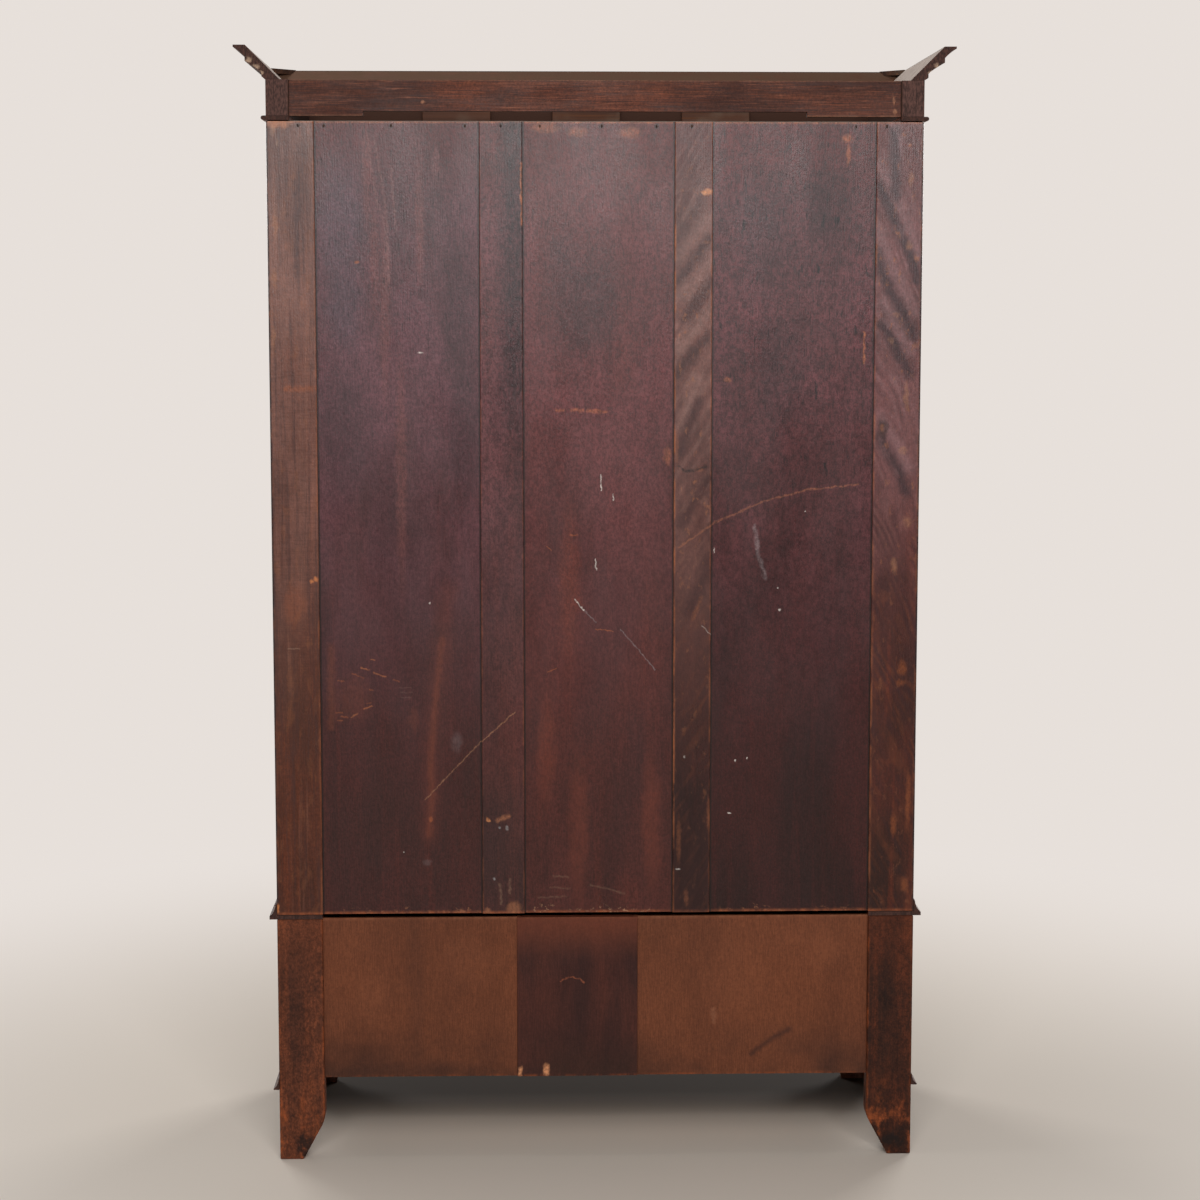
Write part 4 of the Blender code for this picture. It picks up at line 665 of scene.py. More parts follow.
def striped(tree, colour, dark):
    """Dark and pale fibres down a board, blotches of bare brown, and a fine ripple across its lower half."""
    stripe = noise(tree, drawn("Z", 0.0090, 0.30), 8.0, detail=4.0, roughness=0.6, twist=0.4)
    colour = layer(tree, fade(tree, stripe, 0.50, 0.34, 0.0, 0.55), colour, seen((62, 38, 36)))
    colour = layer(tree, fade(tree, stripe, 0.54, 0.70, 0.0, 0.24), colour, seen((150, 100, 80)))
    blotch = noise(tree, (0.020, 0.020, 0.045), 4.0, detail=4.0, roughness=0.6, twist=0.4)
    colour = layer(tree, fade(tree, blotch, 0.54, 0.68, 0.0, 0.24), colour, seen((134, 80, 48)))
    colour = layer(tree, fade(tree, blotch, 0.46, 0.34, 0.0, 0.20), colour, seen((70, 44, 42)))
    fiddle = noise(tree, (0.024, 0.024, 0.0026), 6.0, detail=2.0, twist=0.3)
    lower = fade(tree, axis(tree, "Z"), 1.62, 1.40, 0.0, 0.24)
    return layer(tree, times(tree, lower, fade(tree, fiddle, 0.45, 0.65)), colour, seen(dark))


def ripple(tree, colour, shift, lean, pitch, light, glow, dark, bands):
    """Wavy figure: fine leaning lines a pitch apart, soft clouds, broad dark bands and small orange chips."""
    place = {"Vector": here(tree), "Location": (shift, 0.0, shift), "Rotation": (0.0, lean, 0.0)}
    laid = add(tree, "Mapping", {**place, "Scale": (3.2 * pitch, 1.0, 11.0 * pitch)}, vector_type="TEXTURE")
    ways = {"Scale": 1.0, "Distortion": 15.0, "Detail": 1.0, "Detail Scale": 0.9, "Detail Roughness": 0.5}
    wave = add(tree, "TexWave", {"Vector": laid.outputs[0], **ways}).outputs[1]
    broad = noise(tree, (0.030, 0.030, 0.060), shift + 2.0, detail=3.0)
    shown = fade(tree, broad, 0.40, 0.62, 0.10, 1.0)
    tint = layer(tree, fade(tree, axis(tree, "Z"), 0.95, 1.40), seen(glow), seen(light))
    colour = layer(tree, times(tree, shown, fade(tree, wave, 0.50, 1.0, 0.0, 0.24)), colour, tint)
    colour = layer(tree, times(tree, shown, fade(tree, wave, 0.42, 0.0, 0.0, 0.28)), colour, seen(dark))
    upper_bands = [line for line in bands if line[0][1] > HIGHLIGHT_FROM]
    # Painted highlight in the pale tone just above each upper dark band.
    painted_highlights = [[(x, z + HIGHLIGHT_RISE) for x, z in line] for line in upper_bands]
    colour = strokes(tree, colour, light, 0.40, 0.020, *painted_highlights)
    colour = strokes(tree, colour, dark, 0.85, 0.018, *bands)
    cloud = noise(tree, (0.022, 0.022, 0.055), shift + 6.0, detail=4.0, roughness=0.6, twist=0.5, turn=lean)
    colour = layer(tree, fade(tree, cloud, 0.56, 0.70, 0.0, 0.28), colour, tint)
    colour = layer(tree, fade(tree, cloud, 0.44, 0.30, 0.0, 0.24), colour, seen(dark))
    chip = noise(tree, (0.012, 0.012, 0.022), shift + 4.0, detail=5.0, roughness=0.65)
    upper = fade(tree, axis(tree, "Z"), 0.9, 1.3, 0.4, 1.0)
    return layer(tree, times(tree, fade(tree, chip, 0.58, 0.72, 0.0, 0.6), upper), colour, seen(RIPPLE_CHIP))


def mottled(tree, colour, tone, strength):
    """Black mottling down the inner half of a muntin's upper length."""
    speck = noise(tree, (0.0045, 0.0045, 0.012), 4.0, detail=4.0, roughness=0.65)
    within = times(tree, fade(tree, axis(tree, "X"), 0.186, 0.150), fade(tree, axis(tree, "Z"), 1.20, 1.45))
    amount = times(tree, within, fade(tree, speck, 0.38, 0.62, 0.5 * strength, strength))
    return layer(tree, amount, colour, seen(tone))


def seam_dirt_and_shadow(tree, colour, edge):
    """Dark dirt and painted shadow along the joint where a panel runs into the groove of an upright."""
    return layer(tree, fade(tree, off(tree, "X", edge), 0.0042, 0.0012, 0.0, 0.85), colour, seen(SOOT))


def edge_shadow(tree, colour, edge):
    """Dark line down the outer edge of the back, a painted shadow along the arris."""
    ragged = noise(tree, (0.004, 0.004, 0.020), 3.0, detail=4.0)
    worn = fade(tree, ragged, 0.30, 0.55, 0.30, 0.85)
    near = fade(tree, off(tree, "X", edge), 0.0050, 0.0016)
    return layer(tree, times(tree, near, worn), colour, seen(EDGE_SHADOW_TONE))


def inside_face(tree, colour, name, shift):
    """Plainer, cleaner stain on the face that is turned to the inside."""
    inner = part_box(name)[0].y
    within = fade(tree, axis(tree, "Y"), inner + SKIN, inner + 0.5 * SKIN)
    return layer(tree, within, colour, inside_stain(tree, "Z", shift + 20.0)[0])


def long_edges(name, left, right, reach=0.006):
    """Worn strips along a board's low-x and high-x edges, with how strongly each is rubbed."""
    low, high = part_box(name)
    return [("X", low.x + reach, low.x, left), ("X", high.x - reach, high.x, right)]


def back_board(
    name, deep, tone, warm, haze, shift, marks, figure=(), worn=(), seams=(), streaky=0.4, nap=0.34, flush=0.5
):
    """One upright or panel of the back, with its figure, worn edges, seams and marks from the ground up."""
    material, tree = begin(name)
    colour, fibre = stain(tree, "Z", deep, tone, warm, shift, streaky)
    # Grey bloom with a painted sheen in it, fading down the board.
    colour = bloom_and_sheen(tree, colour, haze, shift)
    # Redder and darker towards the top edge: painted shade that dulls the sheen there.
    colour = shaded(tree, colour, TOP_SHEEN_SHADE, flush, BLOOM_AND_SHEEN_EBB, BOARD_TOP)
    colour = marked(tree, colour, figure)
    for number, (letter, inner, edge, strength) in enumerate(worn):
        colour = rub(tree, colour, letter, inner, edge, RUBBED, shift + number, strength)
    low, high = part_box(name)
    colour = rub(tree, colour, "Z", low.z + FOOT_RUB, low.z, ORANGE_MARK, shift + 6.0, 0.8, 0.35)
    colour = rub(tree, colour, "Z", high.z - HEAD_RUB, high.z, RUBBED, shift + 7.0, 0.85, 0.45)
    for edge in seams:
        colour = seam_dirt_and_shadow(tree, colour, edge)
    rusted = [(x, NAIL_Z, *NAIL_STAIN) for x in NAIL_X if low.x < x < high.x]
    if rusted:
        colour = spots(tree, colour, SOOT, 0.8, *rusted)
    colour = marked(tree, colour, marks.values())
    colour = weave(tree, colour, nap, shift, NAP_FROM)
    colour = inside_face(tree, colour, name, shift)
    cloud = noise(tree, (0.10, 0.10, 0.26), shift + 8.0, detail=4.0)
    roughness = fade(tree, cloud, 0.30, 0.70, BACK_SHEEN - 0.05, BACK_SHEEN + 0.06)
    close_finish(tree, colour, roughness, fibre, BACK_RELIEF, BACK_GLOSS)
    return material


STILE_RIGHT = {"deep": (68, 33, 21), "tone": (94, 45, 26), "warm": (116, 54, 26), "haze": (126, 85, 74)}
STILE_RIGHT_MARKS = {
    # Painted shadow down the outer edge.
    "shadowed edge": (edge_shadow, HALF_WIDTH),
    "dark fibre": (strokes, (58, 38, 40), 0.55, 0.007, [(0.531, 1.775), (0.529, 1.700), (0.531, 1.610)]),
    "tan patches": (
        spots, (158, 104, 72), 0.5,
        (0.569, 1.604, 0.006, 0.022), (0.566, 1.700, 0.005, 0.030), (0.572, 1.500, 0.005, 0.024),
    ),
    "orange band": (strokes, ORANGE_MARK, 0.45, 0.008, [(0.552, 1.410), (0.500, 1.410)]),
    "glow": (spots, (134, 72, 42), 0.4, (0.540, 1.025, 0.024, 0.050)),
    "nick": (strokes, (156, 124, 106), 0.45, 0.0018, [(0.554, 0.945), (0.532, 0.945)]),
    "rubbed top": (spots, (186, 118, 76), 0.55, (0.558, BOARD_TOP - 0.004, 0.026, 0.011)),
    "pale patches": (spots, (170, 130, 104), 0.3, (0.568, 1.862, 0.006, 0.012), (0.561, 1.842, 0.004, 0.010)),
    "chips": (
        spots, (196, 120, 70), 0.8,
        (0.509, 1.067, 0.005, 0.004), (0.502, 1.071, 0.005, 0.005), (0.579, 0.470, 0.004, 0.012),
    ),
}
dress(
    "back_stile_right",
    back_board,
    **STILE_RIGHT,
    shift=2.7,
    figure=[(striped, STILE_RIGHT["deep"])],
    marks=STILE_RIGHT_MARKS,
    worn=long_edges("back_stile_right", 0.35, 0.55),
    streaky=0.6,
    nap=0.16,
    flush=0.0,
)

MUNTIN_RIGHT = {"deep": (63, 34, 32), "tone": (90, 46, 42), "warm": (97, 48, 39), "haze": (96, 56, 60)}
MUNTIN_RIGHT_MARKS = {
    "mottling": (mottled, (34, 27, 29), 0.80),
    "rubbed edge": (strokes, RUBBED, 0.8, 0.0034, [(0.1325, 1.806), (0.1325, 1.700)]),
    "long scratch": (strokes, SCRATCH_TAN, 0.55, 0.0020, DIAGONAL_SCRATCH),
    "splash": (spots, (206, 134, 84), 0.8, (0.196, 0.631, 0.0045, 0.005)),
    "smear": (strokes, (164, 104, 72), 0.65, 0.0065, [(0.178, 0.630), (0.158, 0.638)]),
    "foot lines": (
        strokes, (146, 112, 92), 0.34, 0.0040,
        [(0.175, 0.512), (0.173, 0.477)], [(0.157, 0.520), (0.157, 0.495)],
    ),
    "foot scuffs": (spots, (164, 106, 72), 0.5, (0.150, 0.468, 0.016, 0.014), (0.199, 0.462, 0.008, 0.008)),
    "specks": (
        spots, (176, 172, 172), 0.45,
        (0.162, 0.616, 0.0035, 0.006), (0.176, 0.616, 0.0025, 0.003), (0.186, 0.522, 0.003, 0.003),
    ),
}
dress(
    "back_muntin_right",
    back_board,
    **MUNTIN_RIGHT,
    shift=5.8,
    marks=MUNTIN_RIGHT_MARKS,
    worn=long_edges("back_muntin_right", 0.30, 0.30, 0.004),
    nap=0.42,
)

MUNTIN_LEFT = {"deep": (42, 18, 17), "tone": (57, 23, 21), "warm": (75, 32, 25), "haze": (118, 76, 68)}
MUNTIN_BANDS = [
    [(-0.201, 1.673), (-0.171, 1.634), (-0.143, 1.599)],
    [(-0.205, 1.599), (-0.184, 1.571), (-0.159, 1.535)],
    [(-0.199, 1.502), (-0.167, 1.465), (-0.145, 1.438)],
    [(-0.181, 1.386), (-0.162, 1.333), (-0.151, 1.301)],
    [(-0.200, 1.247), (-0.179, 1.211), (-0.154, 1.168)],
    [(-0.206, 1.103), (-0.187, 1.058), (-0.165, 1.009)],
]
MUNTIN_LEFT_MARKS = {
    "dark foot": (shaded, (44, 14, 10), 0.50, 0.68, 0.58),
    "streak": (strokes, (128, 74, 48), 0.5, 0.006, [(-0.190, 1.036), (-0.174, 0.995)]),
    "rubs": (
        spots, (150, 90, 58), 0.30,
        (-0.196, 1.669, 0.009, 0.004), (-0.144, 1.301, 0.004, 0.036), (-0.184, 1.265, 0.010, 0.005),
        (-0.164, 0.484, 0.006, 0.018), (-0.150, 0.592, 0.005, 0.050), (-0.203, 0.638, 0.003, 0.040),
    ),
    "long scratch": (strokes, (156, 96, 66), 0.5, 0.0028, ARC_SCRATCH),
    "cracked knot": (
        strokes, (40, 25, 22), 0.9, 0.0045,
        [(-0.148, 1.272), (-0.160, 1.263), (-0.176, 1.264), (-0.196, 1.271)],
    ),
    "hair": (strokes, PALE_SCRATCH, 0.32, 0.0016, [(-0.190, 0.984), (-0.207, 0.967)]),
    "specks": (spots, PALE_SCRATCH, 0.5, (-0.149, 0.538, 0.005, 0.0018), (-0.159, 0.745, 0.002, 0.003)),
    "chip": (spots, (206, 136, 90), 0.85, (-0.196, 1.757, 0.012, 0.006)),
}
dress(
    "back_muntin_left",
    back_board,
    **MUNTIN_LEFT,
    shift=12.6,
    figure=[(ripple, 3.0, -0.55, 0.024, (138, 104, 96), (98, 53, 36), (62, 32, 30), MUNTIN_BANDS)],
    marks=MUNTIN_LEFT_MARKS,
    worn=long_edges("back_muntin_left", 0.45, 0.95, 0.005),
    nap=0.20,
)

STILE_LEFT = {"deep": (49, 21, 14), "tone": (80, 33, 21), "warm": (114, 46, 22), "haze": (114, 70, 70)}
STILE_BANDS = [
    [(-0.503, 1.766), (-0.530, 1.708), (-0.561, 1.638), (-0.571, 1.603)],
    [(-0.497, 1.656), (-0.523, 1.585), (-0.550, 1.537), (-0.565, 1.505)],
    [(-0.513, 1.521), (-0.538, 1.475), (-0.560, 1.436)],
    [(-0.510, 1.318), (-0.541, 1.264), (-0.558, 1.225)],
    [(-0.528, 1.862), (-0.531, 1.749)],
]
STILE_LEFT_MARKS = {
    # Painted shadow down the outer edge.
    "shadowed edge": (edge_shadow, -HALF_WIDTH),
    "rubs": (
        spots, (152, 104, 76), 0.5,
        (-0.558, 1.779, 0.006, 0.016), (-0.557, 1.663, 0.007, 0.010), (-0.536, 1.541, 0.007, 0.006),
        (-0.526, 1.496, 0.006, 0.008), (-0.554, 1.397, 0.006, 0.030), (-0.550, 1.300, 0.009, 0.010),
        (-0.559, 1.171, 0.009, 0.013), (-0.536, 1.093, 0.007, 0.016),
    ),
    "glows": (
        spots, (134, 72, 38), 0.55,
        (-0.553, 0.906, 0.010, 0.018), (-0.550, 0.879, 0.010, 0.008), (-0.541, 0.617, 0.006, 0.026),
        (-0.567, 0.663, 0.006, 0.060), (-0.564, 0.506, 0.009, 0.020),
    ),
    "knot": (spots, (46, 28, 26), 0.8, (-0.512, 1.340, 0.014, 0.022)),
    "knot's eye": (spots, (122, 74, 48), 0.8, (-0.512, 1.340, 0.005, 0.009)),
}
dress(
    "back_stile_left",
    back_board,
    **STILE_LEFT,
    shift=9.4,
    figure=[(ripple, 7.0, 0.42, 0.017, (136, 102, 104), (108, 56, 32), (47, 26, 31), STILE_BANDS)],
    marks=STILE_LEFT_MARKS,
    worn=long_edges("back_stile_left", 0.85, 0.55),
    nap=0.20,
)

# Panels of the carcass's back
# Three thin boards let into the uprights' grooves and stained with them. Each has a tone of its own, grey
# bloom above with a painted sheen in it, and the scratches and splashes of a side that was never meant to
# be seen.
GREY_SMEAR = (142, 130, 132)
SCUFF_TAN = (170, 112, 78)
SCUFF_WAVE = (0.010, 0.010, 0.006)


def flecks(tree, colour, tone, strength, low, high, shift):
    """Short dark dashes of open grain, scattered thicker towards the upper of two levels."""
    dash = noise(tree, drawn("Z", 0.0042, 0.024), shift, detail=1.0)
    level = fade(tree, axis(tree, "Z"), low, high, 0.0, strength)
    return layer(tree, times(tree, fade(tree, dash, 0.62, 0.70), level), colour, seen(tone))


def scuffs(tree, colour, tone, strength, wave, shift, *ovals):
    """Oval patches of fine scratches of one tone and wave size."""
    hair = noise(tree, wave, shift, detail=2.0, twist=0.2)
    scratched = fade(tree, hair, 0.54, 0.66, 0.0, strength)
    amount = times(tree, fade(tree, off_ovals(tree, 0.02, ovals), 1.1, 0.2), scratched)
    return layer(tree, amount, colour, seen(tone))


PANEL_RIGHT = {"deep": (57, 30, 28), "tone": (73, 34, 31), "warm": (91, 40, 33), "haze": (98, 61, 68)}
ORANGE_STREAK = [
    (0.266, 1.050), (0.277, 0.960), (0.291, 0.840), (0.299, 0.734), (0.297, 0.668), (0.303, 0.603)
]
PANEL_RIGHT_MARKS = {
    "dark clouds": (
        spots, (52, 34, 38), 0.55,
        (0.245, 1.540, 0.040, 0.150), (0.236, 1.360, 0.034, 0.200), (0.450, 1.330, 0.060, 0.160),
    ),
    "cool clouds": (spots, (72, 62, 72), 0.50, (0.450, 1.700, 0.050, 0.150), (0.446, 1.560, 0.040, 0.100)),
    "pink glows": (spots, (142, 100, 100), 0.24, (0.370, 1.634, 0.009, 0.070), (0.283, 1.808, 0.008, 0.040)),
    "pink grain": (
        strokes, (146, 104, 98), 0.26, 0.0032,
        [(0.403, 1.855), (0.397, 1.808), (0.387, 1.739), (0.373, 1.695), (0.368, 1.655), (0.367, 1.599)],
        [(0.391, 1.852), (0.380, 1.782), (0.373, 1.739), (0.368, 1.686)],
        [(0.362, 1.803), (0.357, 1.739), (0.354, 1.686)],
    ),
    "ticks": (
        strokes, (40, 28, 30), 0.9, 0.0024,
        [(0.288, 1.738), (0.288, 1.728)], [(0.343, 1.525), (0.345, 1.512)],
    ),
    "red glows": (
        spots, (122, 70, 64), 0.35,
        (0.405, 1.790, 0.010, 0.110), (0.392, 1.640, 0.010, 0.120), (0.375, 1.560, 0.012, 0.200),
        (0.312, 1.700, 0.010, 0.140), (0.348, 1.260, 0.012, 0.260),
    ),
    "orange streak": (strokes, (98, 48, 38), 0.32, 0.030, ORANGE_STREAK),
    "heart of the streak": (strokes, (122, 62, 42), 0.34, 0.010, ORANGE_STREAK[1:]),
    "orange band": (strokes, (112, 58, 40), 0.4, 0.012, [(0.477, 0.946), (0.478, 0.801)]),
    "open grain": (flecks, (36, 22, 24), 0.45, 1.0, 1.7, 6.6),
    "rust": (spots, (108, 56, 42), 0.32, (0.438, 0.855, 0.042, 0.050), (0.329, 0.814, 0.012, 0.028)),
    "edge scuffs": (
        scuffs, SCUFF_TAN, 0.35, SCUFF_WAVE, 8.2,
        (0.380, 0.462, 0.110, 0.009), (0.250, 0.462, 0.060, 0.009),
    ),
    "hatching": (
        strokes, (104, 76, 72), 0.45, 0.0022,
        [(0.354, 0.873), (0.334, 0.873)], [(0.352, 0.864), (0.332, 0.864)], [(0.350, 0.855), (0.334, 0.855)],
    ),
    "faint scrapes": (
        strokes, ORANGE_MARK, 0.38, 0.0024,
        [(0.440, 0.899), (0.418, 0.891)], [(0.366, 0.887), (0.355, 0.884)], [(0.465, 0.886), (0.454, 0.884)],
        [(0.409, 0.869), (0.402, 0.869)], [(0.413, 0.844), (0.406, 0.846)], [(0.469, 0.828), (0.458, 0.828)],
        [(0.460, 0.821), (0.448, 0.819)], [(0.467, 0.813), (0.458, 0.813)],
    ),
    "scrapes": (
        strokes, (166, 100, 64), 0.6, 0.0026,
        [(0.423, 0.909), (0.411, 0.906)], [(0.404, 0.924), (0.400, 0.924)], [(0.400, 0.900), (0.380, 0.893)],
        [(0.419, 0.835), (0.404, 0.839)], [(0.442, 0.819), (0.431, 0.826)],
    ),
    "long scratch": (strokes, SCRATCH_TAN, 0.45, 0.0020, DIAGONAL_SCRATCH),
    "smears": (spots, GREY_SMEAR, 0.16, (0.252, 0.773, 0.012, 0.022), (0.307, 0.552, 0.010, 0.007)),
    "orange spots": (spots, ORANGE_MARK, 0.8, (0.423, 1.634, 0.005, 0.003), (0.300, 0.632, 0.004, 0.006)),
    "specks": (
        spots, PALE_SCRATCH, 0.75,
        (0.312, 1.474, 0.006, 0.0018), (0.299, 1.026, 0.002, 0.003), (0.349, 0.572, 0.0015, 0.0015),
    ),
}
dress(
    "back_panel_right",
    back_board,
    **PANEL_RIGHT,
    shift=4.1,
    marks=PANEL_RIGHT_MARKS,
    seams=[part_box("back_stile_right")[0].x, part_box("back_muntin_right")[1].x],
)

PANEL_CENTRE = {"deep": (66, 31, 28), "tone": (85, 39, 33), "warm": (101, 45, 34), "haze": (103, 56, 58)}
PANEL_CENTRE_MARKS = {
    "dark clouds": (spots, (62, 48, 51), 0.50, (0.030, 1.570, 0.085, 0.120), (0.060, 1.640, 0.050, 0.050)),
    "red glows": (
        spots, (112, 52, 37), 0.45,
        (0.048, 1.060, 0.024, 0.170), (0.032, 0.610, 0.024, 0.170),
        (-0.100, 0.620, 0.022, 0.160), (0.090, 0.760, 0.020, 0.120),
    ),
    "open grain": (flecks, (40, 24, 24), 0.40, 1.0, 1.7, 3.4),
    "dashes": (
        strokes, (160, 92, 64), 0.7, 0.0050,
        [(0.071, 1.371), (0.058, 1.371)], [(0.044, 1.373), (0.024, 1.371)], [(0.016, 1.371), (-0.018, 1.369)],
    ),
    "worn patches": (
        spots, (152, 88, 58), 0.55,
        (0.089, 1.869, 0.030, 0.012), (0.033, 1.862, 0.022, 0.010),
        (-0.059, 1.861, 0.024, 0.012), (-0.128, 1.291, 0.008, 0.020),
    ),
    "edge scuffs": (
        scuffs, (190, 146, 112), 0.6, (0.009, 0.009, 0.006), 6.1,
        (0.097, 0.464, 0.026, 0.014), (-0.030, 0.462, 0.090, 0.008),
    ),
    "foot lines": (
        strokes, (136, 104, 86), 0.27, 0.0032,
        [(0.077, 0.525), (0.051, 0.524)], [(0.084, 0.504), (0.048, 0.502)], [(0.104, 0.486), (0.055, 0.487)],
        [(0.011, 0.508), (-0.020, 0.502), (-0.051, 0.492)],
    ),
    "orange scrapes": (
        strokes, ORANGE_MARK, 0.6, 0.0020,
        [(0.089, 1.128), (0.080, 1.120)], [(0.046, 1.148), (0.034, 1.148)],
        [(0.088, 0.900), (0.072, 0.907)], [(0.000, 0.978), (-0.030, 0.974)],
    ),
    "faint scratches": (
        strokes, GREY_SMEAR, 0.45, 0.0018,
        [(0.022, 1.012), (0.000, 0.990)], [(-0.043, 0.977), (-0.075, 0.942), (-0.106, 0.904)],
    ),
    "white scratches": (
        strokes, PALE_SCRATCH, 0.8, 0.0017,
        [(-0.008, 1.257), (-0.009, 1.229)], [(-0.030, 1.222), (-0.031, 1.211)],
        [(0.038, 1.032), (0.022, 1.012)], [(0.001, 1.105), (0.000, 1.085)],
    ),
}
dress(
    "back_panel_centre",
    back_board,
    **PANEL_CENTRE,
    shift=7.2,
    marks=PANEL_CENTRE_MARKS,
    seams=[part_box("back_muntin_right")[0].x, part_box("back_muntin_left")[1].x],
)

PANEL_LEFT = {"deep": (46, 21, 20), "tone": (63, 25, 23), "warm": (74, 29, 25), "haze": (95, 52, 56)}
PANEL_LEFT_MARKS = {
    "dark clouds": (
        spots, (40, 30, 33), 0.40,
        (-0.295, 1.690, 0.070, 0.130), (-0.330, 1.440, 0.060, 0.120), (-0.400, 1.740, 0.040, 0.080),
    ),
    "open grain": (flecks, (26, 17, 19), 0.70, 0.8, 1.6, 9.8),
    "pores": (
        strokes, (20, 14, 16), 1.0, 0.0042,
        [(-0.262, 1.706), (-0.262, 1.692)], [(-0.404, 1.716), (-0.405, 1.694)],
        [(-0.429, 1.714), (-0.430, 1.702)], [(-0.394, 1.630), (-0.395, 1.616)],
        [(-0.411, 1.276), (-0.413, 1.256)], [(-0.463, 1.520), (-0.463, 1.508)],
        [(-0.392, 1.424), (-0.393, 1.392)],
    ),
    "long scratch": (strokes, (156, 96, 68), 0.45, 0.0028, ARC_SCRATCH),
    "rubbed edge": (strokes, RUBBED, 0.8, 0.0030, [(-0.4785, 1.510), (-0.4785, 1.455)]),
    "smear": (strokes, GREY_SMEAR, 0.4, 0.0060, [(-0.285, 1.162), (-0.291, 1.115), (-0.305, 1.070)]),
    "edge scuffs": (
        scuffs, SCUFF_TAN, 0.35, SCUFF_WAVE, 4.4,
        (-0.300, 0.462, 0.090, 0.008), (-0.440, 0.462, 0.050, 0.008),
    ),
    "orange spots": (
        spots, (170, 100, 64), 0.5,
        (-0.234, 1.425, 0.009, 0.006), (-0.444, 1.850, 0.012, 0.010), (-0.447, 1.822, 0.005, 0.022),
    ),
    "specks": (
        spots, PALE_SCRATCH, 0.85,
        (-0.327, 1.052, 0.002, 0.002), (-0.331, 1.012, 0.003, 0.0025), (-0.252, 0.737, 0.0022, 0.003),
        (-0.274, 0.741, 0.0018, 0.0025), (-0.242, 0.640, 0.004, 0.0018), (-0.376, 1.190, 0.0016, 0.0016),
        (-0.212, 1.120, 0.0014, 0.006),
    ),
}
dress(
    "back_panel_left",
    back_board,
    **PANEL_LEFT,
    shift=14.5,
    marks=PANEL_LEFT_MARKS,
    seams=[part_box("back_muntin_left")[0].x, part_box("back_stile_left")[1].x],
    nap=0.46,
)

# Nails of the back
# Cut iron brads driven through the back's upper edge into the carcass top, one or two to each board.
# Their heads are small ovals, punched nearly flush and rusted dark.
NAIL_HALF_WIDTH = 0.0016
NAIL_STRETCH = 1.8
NAIL_PROUD = 0.0006
NAIL_SHANK = 0.0025
NAIL_DOME = 0.0003
NAIL_CROWN = 0.62
UPRIGHTS = ("back_stile_left", "back_stile_right", "back_muntin_left", "back_muntin_right")
IRON_DARK = (34, 30, 29)
IRON_RUST = (96, 58, 38)
IRON_METAL = 0.85


def pick(piece, wanted):
    """Select the faces that pass a test on their normal, ready for an edit-mode tool."""
    bpy.context.view_layer.objects.active = piece
    bpy.ops.object.mode_set(mode="EDIT")
    bpy.ops.mesh.select_mode(type="FACE")
    bpy.ops.mesh.select_all(action="DESELECT")
    bpy.ops.object.mode_set(mode="OBJECT")
    for face in piece.data.polygons:
        face.select = wanted(face.normal)
    bpy.ops.object.mode_set(mode="EDIT")


def iron(name, shift):
    """Forged iron, dark with old rust in patches."""
    material, tree = begin(name)
    blotch = noise(tree, (0.0025, 0.0025, 0.0025), shift, detail=5.0, roughness=0.65)
    colour = layer(tree, fade(tree, blotch, 0.45, 0.62, 0.0, 0.8), seen(IRON_DARK), seen(IRON_RUST))
    shader = close_finish(tree, colour, fade(tree, blotch, 0.3, 0.7, 0.42, 0.75), blotch, 0.00015)
    shader.inputs["Metallic"].default_value = IRON_METAL
    return material


def copies(pattern, name, matrices, body, material):
    """Set out copies of a modelled piece, each with a mesh of its own, and put the pattern away."""
    for number, matrix in enumerate(matrices):
        made = bpy.data.objects.new(f"{name}_{number + 1}", pattern.data.copy())
        made.data.transform(matrix)
        made.data.materials.clear()
        made.data.materials.append(material)
        bpy.context.collection.objects.link(made)
        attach(made, body)
    bpy.data.objects.remove(pattern, do_unlink=True)


bpy.ops.object.select_all(action="DESELECT")
bpy.ops.mesh.primitive_cylinder_add(vertices=14, radius=NAIL_HALF_WIDTH, depth=NAIL_SHANK)
nail = bpy.context.object
pick(nail, lambda normal: normal.z > 0.9)
bpy.ops.mesh.extrude_region_move(TRANSFORM_OT_translate={"value": (0.0, 0.0, NAIL_DOME)})
bpy.ops.transform.resize(value=(NAIL_CROWN, NAIL_CROWN, 1.0))
bpy.ops.mesh.select_all(action="SELECT")
bpy.ops.transform.resize(value=(1.0, NAIL_STRETCH, 1.0))
bpy.ops.object.mode_set(mode="OBJECT")
bpy.ops.object.shade_smooth_by_angle(angle=math.radians(40))
nail_turn = Matrix.Rotation(-math.pi / 2, 4, "X")
nail_places = []
for x in NAIL_X:
    on_upright = any(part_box(name)[0].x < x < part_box(name)[1].x for name in UPRIGHTS)
    rear = BACK_Y if on_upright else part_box("back_panel_centre")[1].y
    sunk = rear + NAIL_PROUD - NAIL_SHANK / 2 - NAIL_DOME
    nail_places.append(Matrix.Translation((x, sunk, NAIL_Z)) @ nail_turn)
copies(nail, "back_nail", nail_places, "case", iron("nail_iron", 1.0))

# Fixed bays beside the door
# Two mahogany frames, each with a raised and fielded panel let into its groove. The panels are faced with
# flame veneer, its feathers rising on either side of a centre line. Stiles and rails meet in glued joints.
BAY_STILE_WIDTH = 0.056
JOINT_LINE = 0.0006
FLAME_RISE = 0.62
FLAME_CURVE = 0.62
FLAME_DEEP = (48, 17, 11)
FLAME_TONE = (132, 62, 34)
FLAME_GLOW = (172, 94, 52)


def turned_where(tree, mask):
    """Place with X and Z exchanged where the mask is 1, for grain that runs across there."""
    across = {0: axis(tree, "Z"), 1: axis(tree, "Y"), 2: axis(tree, "X")}
    return picked(tree, mask, here(tree), add(tree, "CombineXYZ", across).outputs[0])


